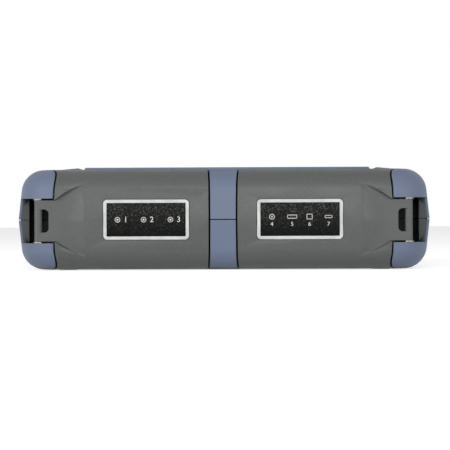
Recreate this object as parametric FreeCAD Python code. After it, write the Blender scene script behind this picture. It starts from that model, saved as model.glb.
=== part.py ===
import FreeCAD, Part

import math
import os

# A handheld optical time domain reflectometer, lying on its back.
# +X runs along its width, +Z points out of the display, and the end with the
# sockets faces -Y.  The origin is the middle of the surface that the feet stand on.
# Every length is in millimetres and every angle in degrees.

V = FreeCAD.Vector
X_AXIS = V(1, 0, 0)
Z_AXIS = V(0, 0, 1)

# ---------------------------------------------------------------- housing ----
WIDTH = 253.0              # across the two grips, at the parting plane
DEPTH = 168.0              # socket end to user's end, at the parting plane
FOOT_PROUD = 0.6           # how far the feet stand out of the back
BACK_Z = FOOT_PROUD        # outer face of the back
PARTING_Z = 31.0           # plane where the two housing halves meet
FRONT_Z = 61.7             # outer face of the front, beside the raised panel
DRAFT = 6.2                # draft of all four sides, away from the parting plane
PLAN_RADIUS = 25.0         # corner radius seen from the front
EDGE_RADIUS = 14.0         # rounding between the sides and the front or back
SKIN = 1.4                 # blue outer skin
BOND = 0.05                # bond line between skin and core
CORE = 2.6                 # grey core wall
SEAM_GAP = 0.6             # open seam between the two blue skins
CORE_SEAM_GAP = 0.3        # hairline between the two grey cores
GASKET_SIDE = 1.1          # the seal's square body
BEAD_SINK = 0.6            # the seal's bead lies this far below the skin

CORE_OUT = SKIN + BOND
CAVITY_OUT = CORE_OUT + CORE
GASKET_OUT = CORE_OUT + 0.7
FRONT_INSIDE_Z = FRONT_Z - CAVITY_OUT
BACK_INSIDE_Z = BACK_Z + CAVITY_OUT
END_Y = -DEPTH / 2.0       # socket end, at the parting plane
USER_Y = DEPTH / 2.0       # user's end
WALL_BACK_Y = END_Y + 24.0               # inner face of the end wall behind the sockets

# ------------------------------------------------------ raised front panel ----
PANEL_RISE = 1.2           # raised middle panel above the front
PANEL_SHIFT = 2.1          # the panel lies this far off the middle, towards +X
PANEL_HALF = 86.6          # its half width
PANEL_FLANK = 0.8          # run of its sloping sides
PANEL_END_Y = USER_Y - 15.0              # its edge at the user's end
GRIP_RISE = 0.9            # crown of each grip beside the groove
GRIP_FADE = 10.0           # run over which that crown falls away
GROOVE_WIDTH = 3.9         # flat floor of the long groove beside the panel
GROOVE_DEPTH = 0.8
PANEL_TOP_Z = FRONT_Z + PANEL_RISE
GROOVE_IN = PANEL_HALF + PANEL_FLANK       # edges of the groove, from the panel's middle
GROOVE_OUT = GROOVE_IN + GROOVE_WIDTH

# ------------------------------------------------------------ socket doors ----
STRIPE_HALF = 7.6          # half width of the blue stripe between the doors
STRIPE_DRAFT = 4.5         # the stripe widens towards its root
STRIPE_SINK = 0.5          # the stripe lies this far below the doors
DOOR_GAP = 1.1             # shadow gap round each door
DOOR_BACK_Y = END_Y + 15.0               # rear edge of the doors, on the front and back faces
DOOR_WALL = 2.6
DOOR_FLANGE = 2.2          # side walls of the door
HINGE_X = WIDTH / 2 - 13.9               # hinge axis, measured from the middle of the object
HINGE_Y = END_Y + 6.5
HINGE_SWEEP = 11.45        # radius of the door's edge round its hinge axis
PIN_RADIUS = 1.1
PIN_CLEARANCE = 0.06
PIN_SEAT = 2.8             # how far each end of the pin sits in the housing
BARREL_RADIUS = 2.3
LUG_Z = PARTING_Z - 0.6    # middle of the lug, which lies a little low
LUG_HALF = 12.5            # half height of the hinge lug
LUG_PLATE = 3.5            # lug thickness
LUG_FRONT_Y = HINGE_Y - BARREL_RADIUS
RECESS_HALF = 13.6         # half height of the recess that the lug turns in
RECESS_BACK_Y = END_Y + 22.0
RECESS_IN_X = HINGE_X - HINGE_SWEEP - 2.0
RECESS_OUT_X = WIDTH / 2 - 6.9           # inner face of the recess's outboard wall
RECESS_RIM_Y = END_Y + 21.0              # front edge of that wall
WELL_BACK_Y = END_Y + 30.0               # deeper part of the recess, behind the strap eye and the barrel
WELL_WALL = 2.0
EYE_IN_X = HINGE_X - 6.5   # strap eye: edge nearer the middle, its other side is the barrel
EYE_HALF = 7.0
EYE_RADIUS = 2.6
WELL_IN_X = EYE_IN_X - 2.0
WASHER_RADIUS = 2.9
WASHER_CLEARANCE = 0.1

# Scooped hollow beside each lug.  It starts at an upright crease and deepens
# towards the lug, while its upper and lower walls close in and grow steeper.
SCOOP_IN_X = 83.8          # the crease
SCOOP_OUT_X = HINGE_X - HINGE_SWEEP + 1.4  # where its floor meets the lug
SCOOP_HALF = 28.0          # half height at the crease
SCOOP_WALL = 6.0           # height of its sloping walls at the crease
SCOOP_STATIONS = (-0.45, 0.0, 0.3, 0.6, 0.85, 1.0, 1.3)  # sections, 0 at the crease, 1 at the lug
SCOOP_FILLET = 1.0

# ------------------------------------------------------------- door labels ----
LABEL_X = 46.6
LABEL_WIDTH = 52.2
LABEL_HEIGHT = 24.5
LABEL_RADIUS = 2.6
LABEL_BORDER = 2.1
LABEL_FIT = 0.25
LABEL_SEAT_Y = END_Y + 2.1
LABEL_FRAME_T = 1.7
LABEL_PLATE_T = 1.3
LABEL_BACKING = 1.6        # door wall left behind the label's seat
RIB_T, RIB_DEPTH = 1.6, 2.2              # ribs on the inside of each door
RIB_X = (30.0, 63.0, 80.0)               # upright ribs, measured from the middle

# ------------------------------------------------------------- socket bays ----
PANEL_SEAT_Y = END_Y + 21.5              # seat of the socket panels
PANEL_T = 2.0
WALL_FRONT_Y = DOOR_BACK_Y + DOOR_GAP
BAY_IN_X = 14.0
BAY_OUT_X = RECESS_IN_X - 2.1
BAY_MARGIN_Z = 8.0         # end wall left above and below each socket panel
BAY_LEDGE = 3.0            # ledge that each panel rests on, at its two ends
BAY_LEDGE_Z = 7.0          # the same, above and below
PANEL_FIT = 0.2
PANEL_SCREW_IN = 4.0       # screws of the panels, from their edges
PANEL_SCREW_R, PANEL_SCREW_T = 2.0, 1.2

# --------------------------------------------------------- optical sockets ----
VFL_X, OTDR_X, OPM_X = -74.0, -47.0, -22.0
FERRULE_RADIUS = 1.25
SLEEVE_RADIUS = 1.65
SLEEVE_SINK = 1.5          # sleeve's mouth below the rim of the nose
NOSE_RADIUS = 4.0
NOSE_BORE = 3.1
NOSE_LENGTH = 8.5
FLANGE_SIDE = 13.0
FLANGE_RADIUS = 2.0
FLANGE_T = 1.8
SOCKET_TAIL = 4.0          # how far an adapter reaches behind the end wall
FLANGE_SCREW = 4.8         # its screws, from its axis, across and up
FLANGE_SCREW_R, FLANGE_HEAD_R, FLANGE_HEAD_T = 0.85, 1.5, 1.0

# ------------------------------------------------------ electrical sockets ----
DC_X, MICRO_X = BAY_IN_X + 10.0, BAY_OUT_X - 10.05
USB_X = DC_X + (MICRO_X - DC_X) * 13 / 42  # the two between them stand at shares of the way
LAN_X = DC_X + (MICRO_X - DC_X) * 41 / 63
IO_BOARD_Y = PANEL_SEAT_Y + 12.5
PROTRUDE = 1.0             # sockets stand this far out of their panel
DC_SIDE, DC_RADIUS = 9.4, 1.0
DC_BORE_R, DC_PIN_R, DC_DEPTH = 3.15, 1.05, 10.0
USB_SIZE = (13.4, 6.2)     # outside of the sleeve
USB_RADIUS, USB_WALL, USB_DEPTH = 0.6, 0.5, 12.0
USB_TONGUE = (5.6, 0.3, 2.0)             # half width, low and high edge above the axis
LAN_SIZE = (16.0, 13.6)
LAN_MOUTH = (5.9, -3.6, 4.4)             # half width, floor and roof from the axis
LAN_LATCH = (3.1, -5.4)                  # half width and floor of the latch's notch
LAN_DEPTH, LAN_LATCH_DEPTH = 12.5, 9.0
LAN_CONTACTS, LAN_PITCH = 8, 1.02
MICRO_HALF, MICRO_LOW, MICRO_TOP = 3.5, 1.2, 1.1
MICRO_SHOULDER, MICRO_SLANT = 0.2, 1.2   # where its lower corners start to slant, and their run
MICRO_WALL, MICRO_DEPTH = 0.4, 6.0
SOCKET_FIT = 0.2           # room round each socket in its panel

# ------------------------------------------------------ display and keypad ----
# Glass: x from, x to, y from, y to.
WINDOW = (-36.0, 82.0, WALL_BACK_Y + 2.0, USER_Y - 48.0)
WINDOW_RADIUS = 3.0
WINDOW_T = 2.0
WINDOW_FIT = 0.2
GASKET_T = 0.25
VIEW_MARGIN = 5.0          # glass edge to core opening
LCD_T = 5.2
LCD_FIT = 0.3
LCD_RIM = 2.0              # the module's rim below the core
KEY_GAP = 0.4
KEY_PROUD = 0.4            # key tops above the raised panel
KEY_CHAMFER = 0.5
KEY_FLANGE = 1.0
KEY_FLANGE_T = 1.0
KEY_FLANGE_GAP = 0.2
SOFT_KEY_X = (-20.0, 8.0, 36.0, 64.0)
SOFT_KEY_Y = USER_Y - 35.0
SOFT_KEY = (19.0, 9.0, 2.5)              # length, width, corner radius
SIDE_KEY = (16.0, 10.5, 3.0)
PAD_X, PAD_Y = -62.0, -6.0               # centre of the round navigation pad
PAD_OUT, PAD_IN, ENTER_RADIUS = 18.5, 7.9, 7.2
PAD_SLIT = 0.7             # slit between two arrow keys
SIDE_KEY_DX = 11.5
TOP_KEY_Y, LOW_KEY_Y = WALL_BACK_Y + 19.0, PAD_Y + 34.0
POWER_Y, POWER_RADIUS = USER_Y - 33.0, 6.5
LIGHT_PITCH, LIGHT_RADIUS, LIGHT_Y = 9.0, 1.3, WALL_BACK_Y + 5.5
LIGHT_PROUD = 0.2

# --------------------------------------------------------- back of the case ----
BATTERY_X, BATTERY_Y0, BATTERY_Y1 = 57.0, USER_Y - 56.0, USER_Y - 20.0
BATTERY_TOP = 27.0
BATTERY_FIT = 0.6
BATTERY_COVER_T = 2.2
BATTERY_LIP_X, BATTERY_LIP_Y = 7.0, 3.0
COVER_RADIUS = 4.0
COVER_FIT = 0.3
COVER_SCREW_R, COVER_SCREW_L, COVER_HEAD_T = 1.1, 8.0, 1.2
STAND_BARREL = 2.5
STAND_AXIS_Y, STAND_AXIS_Z = WALL_BACK_Y + 15.0, BACK_Z + 2.9
STAND_HALF = 41.0
STAND_PIN_RADIUS = 1.5
STAND_TIP_Y = BATTERY_Y0 - 14.0
STAND_T = 3.0
STAND_CLEAR = 0.5
STAND_CORNER = 4.0
STAND_RIB_X = (10.0, 30.0)
STAND_RIB_T, STAND_RIB_DEPTH = 1.6, 1.2
STAND_POCKET_TOP = BACK_Z + 6.0
STAND_PAD = (50.0, 7.0, 1.2)             # length, width and thickness of its rubber pad
STAND_PAD_IN, STAND_PAD_PROUD = 2.0, 0.3
STAND_FLOOR_Z = STAND_AXIS_Z - STAND_BARREL + 0.1   # outer face of the folded stand
NOTCH_HALF, NOTCH_LENGTH = 13.0, 8.0     # finger notch past the stand's tip
POCKET_WALL = 2.0
FOOT_X, FOOT_Y0, FOOT_Y1 = WIDTH / 2 - 29.5, WALL_BACK_Y + 14.0, USER_Y - 26.0
FOOT_RADIUS, FOOT_SINK = 6.0, 1.0
SCREW_X, SCREW_Y0, SCREW_Y1 = WIDTH / 2 - 21.5, WALL_BACK_Y + 28.0, USER_Y - 40.0
SCREW_HEAD_R, SCREW_HEAD_T, SCREW_R = 2.7, 2.0, 1.4
SCREW_SINK = 2.6
SCREW_GRIP = 12.0          # length of a case screw in the front half
SCREW_SOCKET_R = 1.2
SLOT_DEPTH, SLOT_HALF = 0.5, 0.35        # slot in the battery cover's screw heads
BOSS_RADIUS = 4.2
SPEAKER_X, SPEAKER_Y, SPEAKER_RADIUS = 78.0, -4.0, 11.0
SPEAKER_T, MAGNET_RADIUS, MAGNET_T = 3.0, 6.0, 3.5
SLOT_COUNT, SLOT_PITCH, SLOT_WIDTH = 5, 3.6, 1.6

# ---------------------------------------------------------------- interior ----
KEY_ROOM = 4.15            # from the chassis to the inside of the front
CHASSIS_TOP = FRONT_INSIDE_Z - KEY_ROOM
CHASSIS_T = 1.5
CHASSIS_X, CHASSIS_Y0, CHASSIS_Y1 = WIDTH / 2 - 28.5, WALL_BACK_Y + 2.5, USER_Y - 21.0
CHASSIS_WINDOWS = ((-30.0, 6.0), (20.0, 56.0))
CHASSIS_WINDOW_Y = (-34.0, 20.0)
POST_RADIUS = 2.5
BOARD_Z, BOARD_T = PARTING_Z + 7.0, 1.6
BOARD_X, BOARD_Y0, BOARD_Y1 = CHASSIS_X - 6.0, IO_BOARD_Y - 4.0, CHASSIS_Y1 - 1.0
BOARD_POST_IN = 6.0        # posts of the main board, from its edges
KEY_BOARD_T, MAT_T = 1.2, 0.5
KEY_FIELD_X = PAD_X - 22.0               # edge of the key board
KEY_FIELD_Y = USER_Y - 24.0
LASER_RADIUS, LASER_LENGTH = 5.5, 26.0
ENGINE_X0, ENGINE_X1, ENGINE_LENGTH = OTDR_X - 16.0, OTDR_X + 14.0, 52.0
ENGINE_FLOOR = BACK_Z + 11.4
CAN_RADIUS, CAN_LENGTH = 6.5, 8.0
DETECTOR_RADIUS, DETECTOR_LENGTH = 4.5, 15.0
IO_BOARD_FLOOR = BACK_Z + 13.4


# ------------------------------------------------------------ small helpers ----
def slab(x0, x1, y0, y1, z0, z1):
    """A box between two corners."""
    return Part.makeBox(x1 - x0, y1 - y0, z1 - z0, V(x0, y0, z0))


def rod(radius, start, end):
    """A cylinder between two points."""
    axis = end - start
    return Part.makeCylinder(radius, axis.Length, start, axis)


def rounded_wire(x0, x1, y0, y1, radius, z):
    """Closed outline of a rounded rectangle in a horizontal plane."""
    k = radius * (1.0 - math.sqrt(0.5))
    line, arc = Part.LineSegment, Part.Arc
    edges = [
        line(V(x0 + radius, y0, z), V(x1 - radius, y0, z)),
        arc(V(x1 - radius, y0, z), V(x1 - k, y0 + k, z), V(x1, y0 + radius, z)),
        line(V(x1, y0 + radius, z), V(x1, y1 - radius, z)),
        arc(V(x1, y1 - radius, z), V(x1 - k, y1 - k, z), V(x1 - radius, y1, z)),
        line(V(x1 - radius, y1, z), V(x0 + radius, y1, z)),
        arc(V(x0 + radius, y1, z), V(x0 + k, y1 - k, z), V(x0, y1 - radius, z)),
        line(V(x0, y1 - radius, z), V(x0, y0 + radius, z)),
        arc(V(x0, y0 + radius, z), V(x0 + k, y0 + k, z), V(x0 + radius, y0, z)),
    ]
    return Part.Wire([e.toShape() for e in edges])


def rounded_slab(x0, x1, y0, y1, radius, z0, z1):
    """A plate with rounded corners."""
    return Part.Face(rounded_wire(x0, x1, y0, y1, radius, z0)).extrude(V(0, 0, z1 - z0))


def upright_plate(cx, cz, width, height, radius, y0, y1):
    """A plate with rounded corners that stands in the XZ plane."""
    plate = rounded_slab(-width / 2, width / 2, -height / 2, height / 2, radius, 0, y1 - y0)
    plate.rotate(V(0, 0, 0), X_AXIS, -90)
    plate.translate(V(cx, y0, cz))
    return plate


def rounded_path(points, radii):
    """Closed wire through points in one plane, each corner rounded by its own radius."""
    count = len(points)
    edges = []
    ends = []
    for i, corner in enumerate(points):
        before = (points[i - 1] - corner).normalize()
        after = (points[(i + 1) % count] - corner).normalize()
        if radii[i] == 0:
            ends.append((corner, corner, None))
            continue
        half = math.acos(max(-1.0, min(1.0, before.dot(after)))) / 2.0
        reach = radii[i] / math.tan(half)
        middle = (before + after).normalize()
        apex = corner + middle * (radii[i] / math.sin(half) - radii[i])
        ends.append((corner + before * reach, corner + after * reach, apex))
    for i, (arrive, leave, apex) in enumerate(ends):
        if apex is not None:
            edges.append(Part.Arc(arrive, apex, leave).toShape())
        edges.append(Part.LineSegment(leave, ends[(i + 1) % count][0]).toShape())
    return Part.Wire(edges)


def join(shapes):
    """One shape out of several that touch or overlap."""
    result = shapes[0]
    if len(shapes) > 1:
        result = result.fuse(list(shapes[1:]))
    return result.removeSplitter()


def mirrored(shape):
    """The same shape on the other side of the middle plane."""
    return shape.mirror(V(0, 0, 0), X_AXIS)


def both_sides(shape):
    """A shape and its mirror image, as separate solids."""
    return [shape, mirrored(shape)]


def save(name, *shapes):
    """Writes one node's solids to its STEP file."""
    solids = [solid for shape in shapes for solid in shape.Solids]
    for solid in solids:
        if not solid.isValid():
            raise ValueError(name + " holds a solid that isn't valid")
    whole = solids[0] if len(solids) == 1 else Part.makeCompound(solids)
    whole.exportStep("parts/" + name + ".step")
    print(name, len(solids), "solid(s)", round(sum(s.Volume for s in solids), 1), "mm3")


# --------------------------------------------------------- housing envelope ----
def half_envelope(inset, front):
    """One half of the housing's outer form, moved in by inset on every side."""
    end_z = FRONT_Z - inset if front else BACK_Z + inset
    lean = abs(end_z - PARTING_Z) * math.tan(math.radians(DRAFT))
    hx, hy = WIDTH / 2 - inset, DEPTH / 2 - inset
    base = rounded_wire(-hx, hx, -hy, hy, PLAN_RADIUS - inset, PARTING_Z)
    far = rounded_wire(lean - hx, hx - lean, lean - hy, hy - lean,
                       PLAN_RADIUS - inset - lean, end_z)
    block = Part.makeLoft([base, far], True, True)
    rim = [e for e in block.Edges
           if all(abs(v.Z - end_z) < 1e-4 for v in e.Vertexes)]
    return block.makeFillet(EDGE_RADIUS - inset, rim)


def envelope(inset):
    """The whole outer form, moved in by inset on every side."""
    return half_envelope(inset, True).fuse(half_envelope(inset, False))


def stripe_edge(y, gap):
    """Distance from the middle to the edge of the stripe, plus a gap, at y."""
    return STRIPE_HALF + gap + (y - END_Y) * math.tan(math.radians(STRIPE_DRAFT))


def door_footprint(sweep, back_y, gap):
    """Solid prism of the door's outline: an arc about the hinge, the rear edge and the stripe."""
    low_y = END_Y - 12.0
    dy = back_y - HINGE_Y
    arc_back = V(HINGE_X - math.sqrt(sweep ** 2 - dy ** 2), back_y, 0)
    swing = math.radians(60.0)
    arc_front = V(HINGE_X - sweep * math.cos(swing), HINGE_Y - sweep * math.sin(swing), 0)
    edges = [
        Part.Arc(arc_front, V(HINGE_X - sweep, HINGE_Y, 0), arc_back),
        Part.LineSegment(arc_back, V(stripe_edge(back_y, gap), back_y, 0)),
        Part.LineSegment(V(stripe_edge(back_y, gap), back_y, 0),
                         V(stripe_edge(low_y, gap), low_y, 0)),
        Part.LineSegment(V(stripe_edge(low_y, gap), low_y, 0), V(arc_front.x, low_y, 0)),
        Part.LineSegment(V(arc_front.x, low_y, 0), arc_front),
    ]
    wire = Part.Wire([e.toShape() for e in edges])
    prism = Part.Face(wire).extrude(V(0, 0, FRONT_Z + 20))
    prism.translate(V(0, 0, -10))
    return prism


def recess_well(grow):
    """Deep part of the recess, or with its walls, which reach the side of the case."""
    out_x = WIDTH / 2 if grow else RECESS_OUT_X
    return slab(WELL_IN_X - grow, out_x, END_Y, WELL_BACK_Y + grow,
                LUG_Z - RECESS_HALF - grow, LUG_Z + RECESS_HALF + grow)


def recess_cut():
    """Space at a front corner of the case that the hinge lug turns in."""
    z0, z1 = LUG_Z - RECESS_HALF, LUG_Z + RECESS_HALF
    pocket = slab(RECESS_IN_X, RECESS_OUT_X, END_Y - 12, RECESS_BACK_Y, z0, z1)
    mouth = slab(RECESS_OUT_X - 1, WIDTH / 2 + 10, END_Y - 12, RECESS_RIM_Y, z0, z1)
    return pocket.fuse([mouth, recess_well(0.0)])


def door_opening():
    """What one door and its lug need cut from the right-hand half of the case."""
    opening = door_footprint(HINGE_SWEEP - DOOR_GAP, WALL_FRONT_Y, 0.0)
    return opening.fuse(recess_cut())


# ---------------------------------------------------------------- the doors ----
def end_fall(height):
    """How far the end face lies back at a height above or below the parting plane."""
    over = max(0.0, height - (FRONT_Z - EDGE_RADIUS - PARTING_Z))
    rounding = EDGE_RADIUS - math.sqrt(EDGE_RADIUS ** 2 - over ** 2)
    return height * math.tan(math.radians(DRAFT)) + rounding


def scoop_section(share, grow):
    """Section of the hollow at a share of its way from the crease to the lug."""
    x = SCOOP_IN_X + share * (SCOOP_OUT_X - SCOOP_IN_X)
    inward = min(share, 1.0)
    depth = LUG_FRONT_Y - END_Y
    floor_y = END_Y + depth * (1.0 - (1.0 - inward) ** 2) + grow
    rim_half = SCOOP_HALF + (LUG_HALF - SCOOP_HALF) * inward
    floor_half = rim_half - SCOOP_WALL * (1.0 - inward) - 0.1 + grow * 0.4
    flatten = min(1.0, 1.0 - inward)
    side = [(part * floor_half, floor_y + flatten * end_fall(part * floor_half))
            for part in (0.55, 0.8, 1.0)]
    side += [(rim_half + grow, side[-1][1] - depth - grow), (rim_half + grow, END_Y - 12.0)]
    points = [V(x, y, z) for z, y in reversed(side)] + [V(x, floor_y, 0)]
    points += [V(x, y, -z) for z, y in side]
    path = rounded_path(points, [0, 0, SCOOP_FILLET, 0, 0, 0, 0, 0, SCOOP_FILLET, 0, 0])
    path.translate(V(0, 0, LUG_Z + (PARTING_Z - LUG_Z) * (1.0 - inward)))
    return path


def scoop(grow):
    """Hollow beside the lug, grown outwards by the door's wall to shape its inside."""
    return Part.makeLoft([scoop_section(share, grow) for share in SCOOP_STATIONS], True, False)


def hinge_lug():
    """Barrel and plate that carry the door, with the strap eye through the plate."""
    z0, z1 = LUG_Z - LUG_HALF, LUG_Z + LUG_HALF
    root_x = HINGE_X - HINGE_SWEEP - 1.6
    plate = slab(root_x, HINGE_X, LUG_FRONT_Y, LUG_FRONT_Y + LUG_PLATE, z0, z1)
    barrel = rod(BARREL_RADIUS, V(HINGE_X, HINGE_Y, z0), V(HINGE_X, HINGE_Y, z1))
    return plate.cut(strap_eye()).fuse(barrel)


def strap_eye():
    """D-shaped hole through the lug's plate, straight where it meets the barrel."""
    z0, z1 = LUG_Z - EYE_HALF, LUG_Z + EYE_HALF
    y0, y1 = HINGE_Y - 6.0, HINGE_Y + 6.0
    points = [V(HINGE_X, y0, z0), V(EYE_IN_X, y0, z0), V(EYE_IN_X, y0, z1), V(HINGE_X, y0, z1)]
    face = Part.Face(rounded_path(points, [0, EYE_RADIUS, EYE_RADIUS, 0]))
    return face.extrude(V(0, y1 - y0, 0))


def door_ribs():
    """What the hollow of a door leaves standing: the label's backing and the ribs."""
    seat_y = LABEL_SEAT_Y + LABEL_BACKING
    backing = upright_plate(LABEL_X, PARTING_Z, LABEL_WIDTH + 2 * DOOR_WALL,
                            LABEL_HEIGHT + 2 * DOOR_WALL, LABEL_RADIUS + 1, END_Y - 1, seat_y)
    rib_y = END_Y + DOOR_WALL + RIB_DEPTH
    ribs = [slab(x - RIB_T / 2, x + RIB_T / 2, END_Y - 1, rib_y, 0, FRONT_Z) for x in RIB_X]
    return [backing] + ribs


def socket_door():
    """One swinging door, on the +X side."""
    outer = envelope(0).common(door_footprint(HINGE_SWEEP, DOOR_BACK_Y, DOOR_GAP))
    inside = envelope(DOOR_WALL).common(
        door_footprint(HINGE_SWEEP + DOOR_FLANGE, DOOR_BACK_Y + 0.5, DOOR_GAP + DOOR_FLANGE))
    hollow = inside.cut([scoop(DOOR_WALL)] + door_ribs())
    door = outer.cut(hollow).cut(scoop(0.0))
    door = door.fuse(hinge_lug())
    bore = rod(PIN_RADIUS + PIN_CLEARANCE, V(HINGE_X, HINGE_Y, 0), V(HINGE_X, HINGE_Y, FRONT_Z))
    seat = upright_plate(LABEL_X, PARTING_Z, LABEL_WIDTH + 2 * LABEL_FIT,
                         LABEL_HEIGHT + 2 * LABEL_FIT, LABEL_RADIUS + LABEL_FIT,
                         END_Y - 5, LABEL_SEAT_Y)
    return door.cut([bore, seat]).removeSplitter()


def label_frame():
    """Bright rim round a door's label, on the +X side."""
    front_y = LABEL_SEAT_Y - LABEL_FRAME_T
    rim = upright_plate(LABEL_X, PARTING_Z, LABEL_WIDTH, LABEL_HEIGHT, LABEL_RADIUS,
                        front_y, LABEL_SEAT_Y)
    rim = rim.makeChamfer(0.3, [e for e in rim.Edges
                                if all(abs(v.Y - front_y) < 1e-4 for v in e.Vertexes)])
    hole = upright_plate(LABEL_X, PARTING_Z, LABEL_WIDTH - 2 * LABEL_BORDER,
                         LABEL_HEIGHT - 2 * LABEL_BORDER, 0.5, front_y - 1, LABEL_SEAT_Y + 1)
    return rim.cut(hole)


def label_plate():
    """Dark plate inside the rim, on the +X side."""
    return upright_plate(LABEL_X, PARTING_Z, LABEL_WIDTH - 2 * LABEL_BORDER - 0.1,
                         LABEL_HEIGHT - 2 * LABEL_BORDER - 0.1, 0.45,
                         LABEL_SEAT_Y - LABEL_PLATE_T, LABEL_SEAT_Y)


def hinge_pin():
    """Steel pin that a door turns on, on the +X side."""
    reach = RECESS_HALF + PIN_SEAT
    return rod(PIN_RADIUS, V(HINGE_X, HINGE_Y, LUG_Z - reach), V(HINGE_X, HINGE_Y, LUG_Z + reach))


def hinge_washers():
    """Two thrust washers between the lug and the recess, on the +X side."""
    washers = []
    for side in (-1, 1):
        z_in = LUG_Z + side * (LUG_HALF + WASHER_CLEARANCE)
        z_out = LUG_Z + side * RECESS_HALF
        disc = rod(WASHER_RADIUS, V(HINGE_X, HINGE_Y, z_in), V(HINGE_X, HINGE_Y, z_out))
        washers.append(disc.cut(hinge_pin()))
    return washers


# ------------------------------------------------------------ front details ----
def pill(cx, cy, size, grow):
    """Plan slab of a key with rounded corners, grown by a margin."""
    length, width, radius = size
    hx, hy = length / 2 + grow, width / 2 + grow
    return rounded_slab(cx - hx, cx + hx, cy - hy, cy + hy, radius + grow, 0, 1)


def disc(cx, cy, radius):
    """Plan slab of a round key."""
    return Part.makeCylinder(radius, 1, V(cx, cy, 0))


def arrow(turn, grow):
    """Plan slab of one quarter of the ring round the enter key, its rim grown by a margin."""
    ring = Part.makeCylinder(PAD_OUT + grow, 1).cut(Part.makeCylinder(PAD_IN, 1))
    slit = PAD_SLIT / 2 * math.sqrt(2.0)
    far = PAD_OUT * 2
    wedge = Part.Face(Part.makePolygon([
        V(slit, 0, 0), V(slit + far, far, 0), V(slit + far, -far, 0), V(slit, 0, 0)]))
    quarter = ring.common(wedge.extrude(V(0, 0, 1)))
    quarter.rotate(V(0, 0, 0), Z_AXIS, turn)
    return quarter.translated(V(PAD_X, PAD_Y, 0))


def side_key_places():
    """Name and centre of the four keys above and below the navigation pad."""
    return {"menu_key": (PAD_X + SIDE_KEY_DX, TOP_KEY_Y), "start_key": (PAD_X - SIDE_KEY_DX, TOP_KEY_Y),
            "file_key": (PAD_X + SIDE_KEY_DX, LOW_KEY_Y), "back_key": (PAD_X - SIDE_KEY_DX, LOW_KEY_Y)}


def key_plans():
    """Plan slabs of each key: its top, and the flange that holds it in from below."""
    plans = {}
    for number, x in enumerate(SOFT_KEY_X, start=1):
        plans["soft_key_%d" % number] = [pill(x, SOFT_KEY_Y, SOFT_KEY, g) for g in (0, KEY_FLANGE)]
    for name, (x, y) in side_key_places().items():
        plans[name] = [pill(x, y, SIDE_KEY, g) for g in (0, KEY_FLANGE)]
    for name, turn in (("right", 0), ("up", 90), ("left", 180), ("down", 270)):
        plans["arrow_key_" + name] = [arrow(turn, g) for g in (0, KEY_FLANGE)]
    plans["enter_key"] = [disc(PAD_X, PAD_Y, ENTER_RADIUS)] * 2
    plans["power_key"] = [disc(PAD_X, POWER_Y, POWER_RADIUS + g) for g in (0, KEY_FLANGE)]
    return plans


def key_holes():
    """Plan slabs of the openings for the keys; the navigation pad shares one."""
    holes = [pill(x, SOFT_KEY_Y, SOFT_KEY, KEY_GAP) for x in SOFT_KEY_X]
    holes += [pill(x, y, SIDE_KEY, KEY_GAP) for x, y in side_key_places().values()]
    holes.append(disc(PAD_X, PAD_Y, PAD_OUT + KEY_GAP))
    holes.append(disc(PAD_X, POWER_Y, POWER_RADIUS + KEY_GAP))
    return holes


def lifted(plan, z0, z1):
    """A plan slab drawn out to stand between two heights."""
    floor = min(plan.Faces, key=lambda face: face.CenterOfMass.z)
    return floor.extrude(V(0, 0, z1 - z0)).translated(V(0, 0, z0))


def key_solid(top_plan, flange_plan):
    """A key with its chamfered top and its flange."""
    top_z = PANEL_TOP_Z + KEY_PROUD
    flange_top = FRONT_INSIDE_Z - KEY_FLANGE_GAP
    stem = lifted(top_plan, flange_top - KEY_FLANGE_T, top_z)
    stem = stem.makeChamfer(KEY_CHAMFER, [e for e in stem.Edges
                                          if all(abs(v.Z - top_z) < 1e-4 for v in e.Vertexes)])
    flange = lifted(flange_plan, flange_top - KEY_FLANGE_T, flange_top)
    return stem.fuse(flange).removeSplitter()


def light_centres():
    """Places of the three status lights."""
    return [(PAD_X + i * LIGHT_PITCH, LIGHT_Y) for i in (-1, 0, 1)]


def front_openings():
    """Everything cut through the front for the display, the keys and the lights."""
    x0, x1, y0, y1 = WINDOW
    z0, z1 = FRONT_INSIDE_Z - 8, PANEL_TOP_Z + 8
    cuts = [rounded_slab(x0 + VIEW_MARGIN, x1 - VIEW_MARGIN, y0 + VIEW_MARGIN, y1 - VIEW_MARGIN,
                         1.0, z0, z1)]
    cuts += [lifted(hole, z0, z1) for hole in key_holes()]
    cuts += [Part.makeCylinder(LIGHT_RADIUS + 0.1, z1 - z0, V(x, y, z0))
             for x, y in light_centres()]
    return cuts


def raised_panel():
    """The raised middle panel and the crowned grips beside the grooves."""
    low = FRONT_Z - 1.0
    y0 = WALL_FRONT_Y
    middle = Part.Face(Part.makePolygon([
        V(-GROOVE_IN, y0, low), V(-GROOVE_IN, y0, FRONT_Z),
        V(-PANEL_HALF, y0, PANEL_TOP_Z), V(PANEL_HALF, y0, PANEL_TOP_Z),
        V(GROOVE_IN, y0, FRONT_Z), V(GROOVE_IN, y0, low),
        V(-GROOVE_IN, y0, low)])).extrude(V(0, PANEL_END_Y - y0, 0))
    end = [e for e in middle.Edges
           if all(v.Z > PANEL_TOP_Z - 0.01 and v.Y > PANEL_END_Y - 0.01 for v in e.Vertexes)]
    middle = middle.makeChamfer(PANEL_FLANK, end)
    fade = GROOVE_OUT + GRIP_FADE
    crown = Part.Face(Part.makePolygon([
        V(GROOVE_OUT, y0, low), V(GROOVE_OUT, y0, FRONT_Z + GRIP_RISE),
        V(fade, y0, FRONT_Z), V(fade, y0, low),
        V(GROOVE_OUT, y0, low)])).extrude(V(0, PANEL_END_Y - y0, 0))
    return [p.translated(V(PANEL_SHIFT, 0, 0)) for p in [middle] + both_sides(crown)]


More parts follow.
